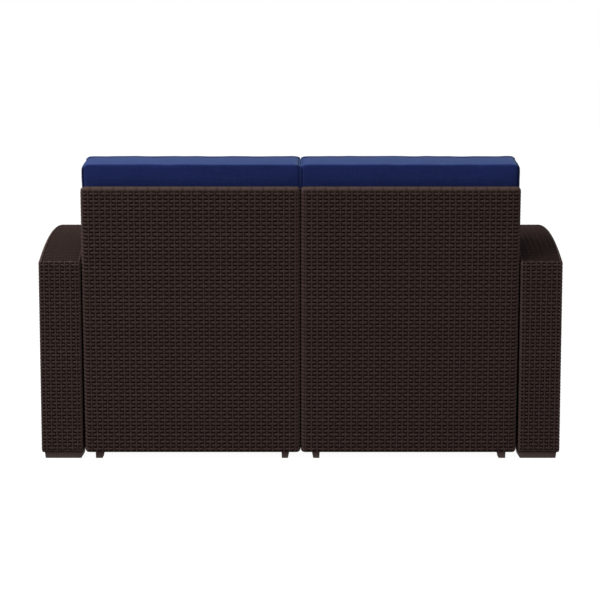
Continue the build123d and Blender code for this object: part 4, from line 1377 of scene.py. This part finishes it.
# ---------------------------------------------------------- floor and soft light
# The floor is pale and lit from within, so it runs into the white backdrop; it
# is seen, but the object takes its light from below from the world instead.
floor_mesh = bpy.data.meshes.new("floor")
floor_mesh.from_pydata([(-40, -50, 0), (40, -50, 0), (40, 30, 0), (-40, 30, 0)], [], [(0, 1, 2, 3)])
floor = bpy.data.objects.new("floor", floor_mesh)
scene.collection.objects.link(floor)
fm = Nodes("floor")
fm.shade(Base_Color=(0.12, 0.12, 0.12, 1.0), Roughness=1.0, Specular_IOR_Level=0.0,
         Emission_Color=(1.0, 1.0, 1.0, 1.0), Emission_Strength=0.97)
floor_mesh.materials.append(fm.mat)
floor.visible_diffuse = False
floor.visible_glossy = False

world = bpy.data.worlds.new("studio")
scene.world = world
world.use_nodes = True
wt = world.node_tree
wt.nodes.clear()
w_out = wt.nodes.new("ShaderNodeOutputWorld")
w_mix = wt.nodes.new("ShaderNodeMixShader")
w_seen = wt.nodes.new("ShaderNodeBackground")
w_lit = wt.nodes.new("ShaderNodeBackground")
w_path = wt.nodes.new("ShaderNodeLightPath")
w_dir = wt.nodes.new("ShaderNodeTexCoord")
w_sep = wt.nodes.new("ShaderNodeSeparateXYZ")
w_half = wt.nodes.new("ShaderNodeMapRange")
w_ramp = wt.nodes.new("ShaderNodeValToRGB")
w_half.inputs["From Min"].default_value = -1.0
w_seen.inputs[0].default_value = (1, 1, 1, 1)
w_seen.inputs[1].default_value = 1.0
stops = ((0.0, 0.19), (0.44, 0.265), (0.52, 0.365), (0.75, 0.42), (1.0, 0.46))
while len(w_ramp.color_ramp.elements) < len(stops):
    w_ramp.color_ramp.elements.new(0.5)
for e, (at, value) in zip(w_ramp.color_ramp.elements, stops):
    e.position = at
    e.color = (value, value, value, 1.0)
wt.links.new(w_dir.outputs["Generated"], w_sep.inputs[0])
wt.links.new(w_sep.outputs["Z"], w_half.inputs["Value"])
wt.links.new(w_half.outputs[0], w_ramp.inputs[0])
wt.links.new(w_ramp.outputs[0], w_lit.inputs[0])
wt.links.new(w_path.outputs["Is Camera Ray"], w_mix.inputs[0])
wt.links.new(w_lit.outputs[0], w_mix.inputs[1])
wt.links.new(w_seen.outputs[0], w_mix.inputs[2])
wt.links.new(w_mix.outputs[0], w_out.inputs[0])


def area_light(name, place, target, size, energy):
    data = bpy.data.lights.new(name, "AREA")
    data.shape = "RECTANGLE"
    data.size, data.size_y = size
    data.energy = energy
    ob = bpy.data.objects.new(name, data)
    scene.collection.objects.link(ob)
    ob.location = place
    ob.rotation_euler = (Vector(target) - Vector(place)).to_track_quat("-Z", "Y").to_euler()
    return ob


area_light("overhead", (0.3, 0.0, 3.6), (0.0, 0.1, 0.4), (2.0, 2.0), 11.0)
area_light("key_left", (4.3, 1.1, 4.5), (0.0, 0.1, 0.5), (5.6, 2.4), 322.0)
area_light("rear_left", (4.6, 1.9, 1.4), (0.0, 0.3, 0.4), (1.6, 1.6), 9.0)
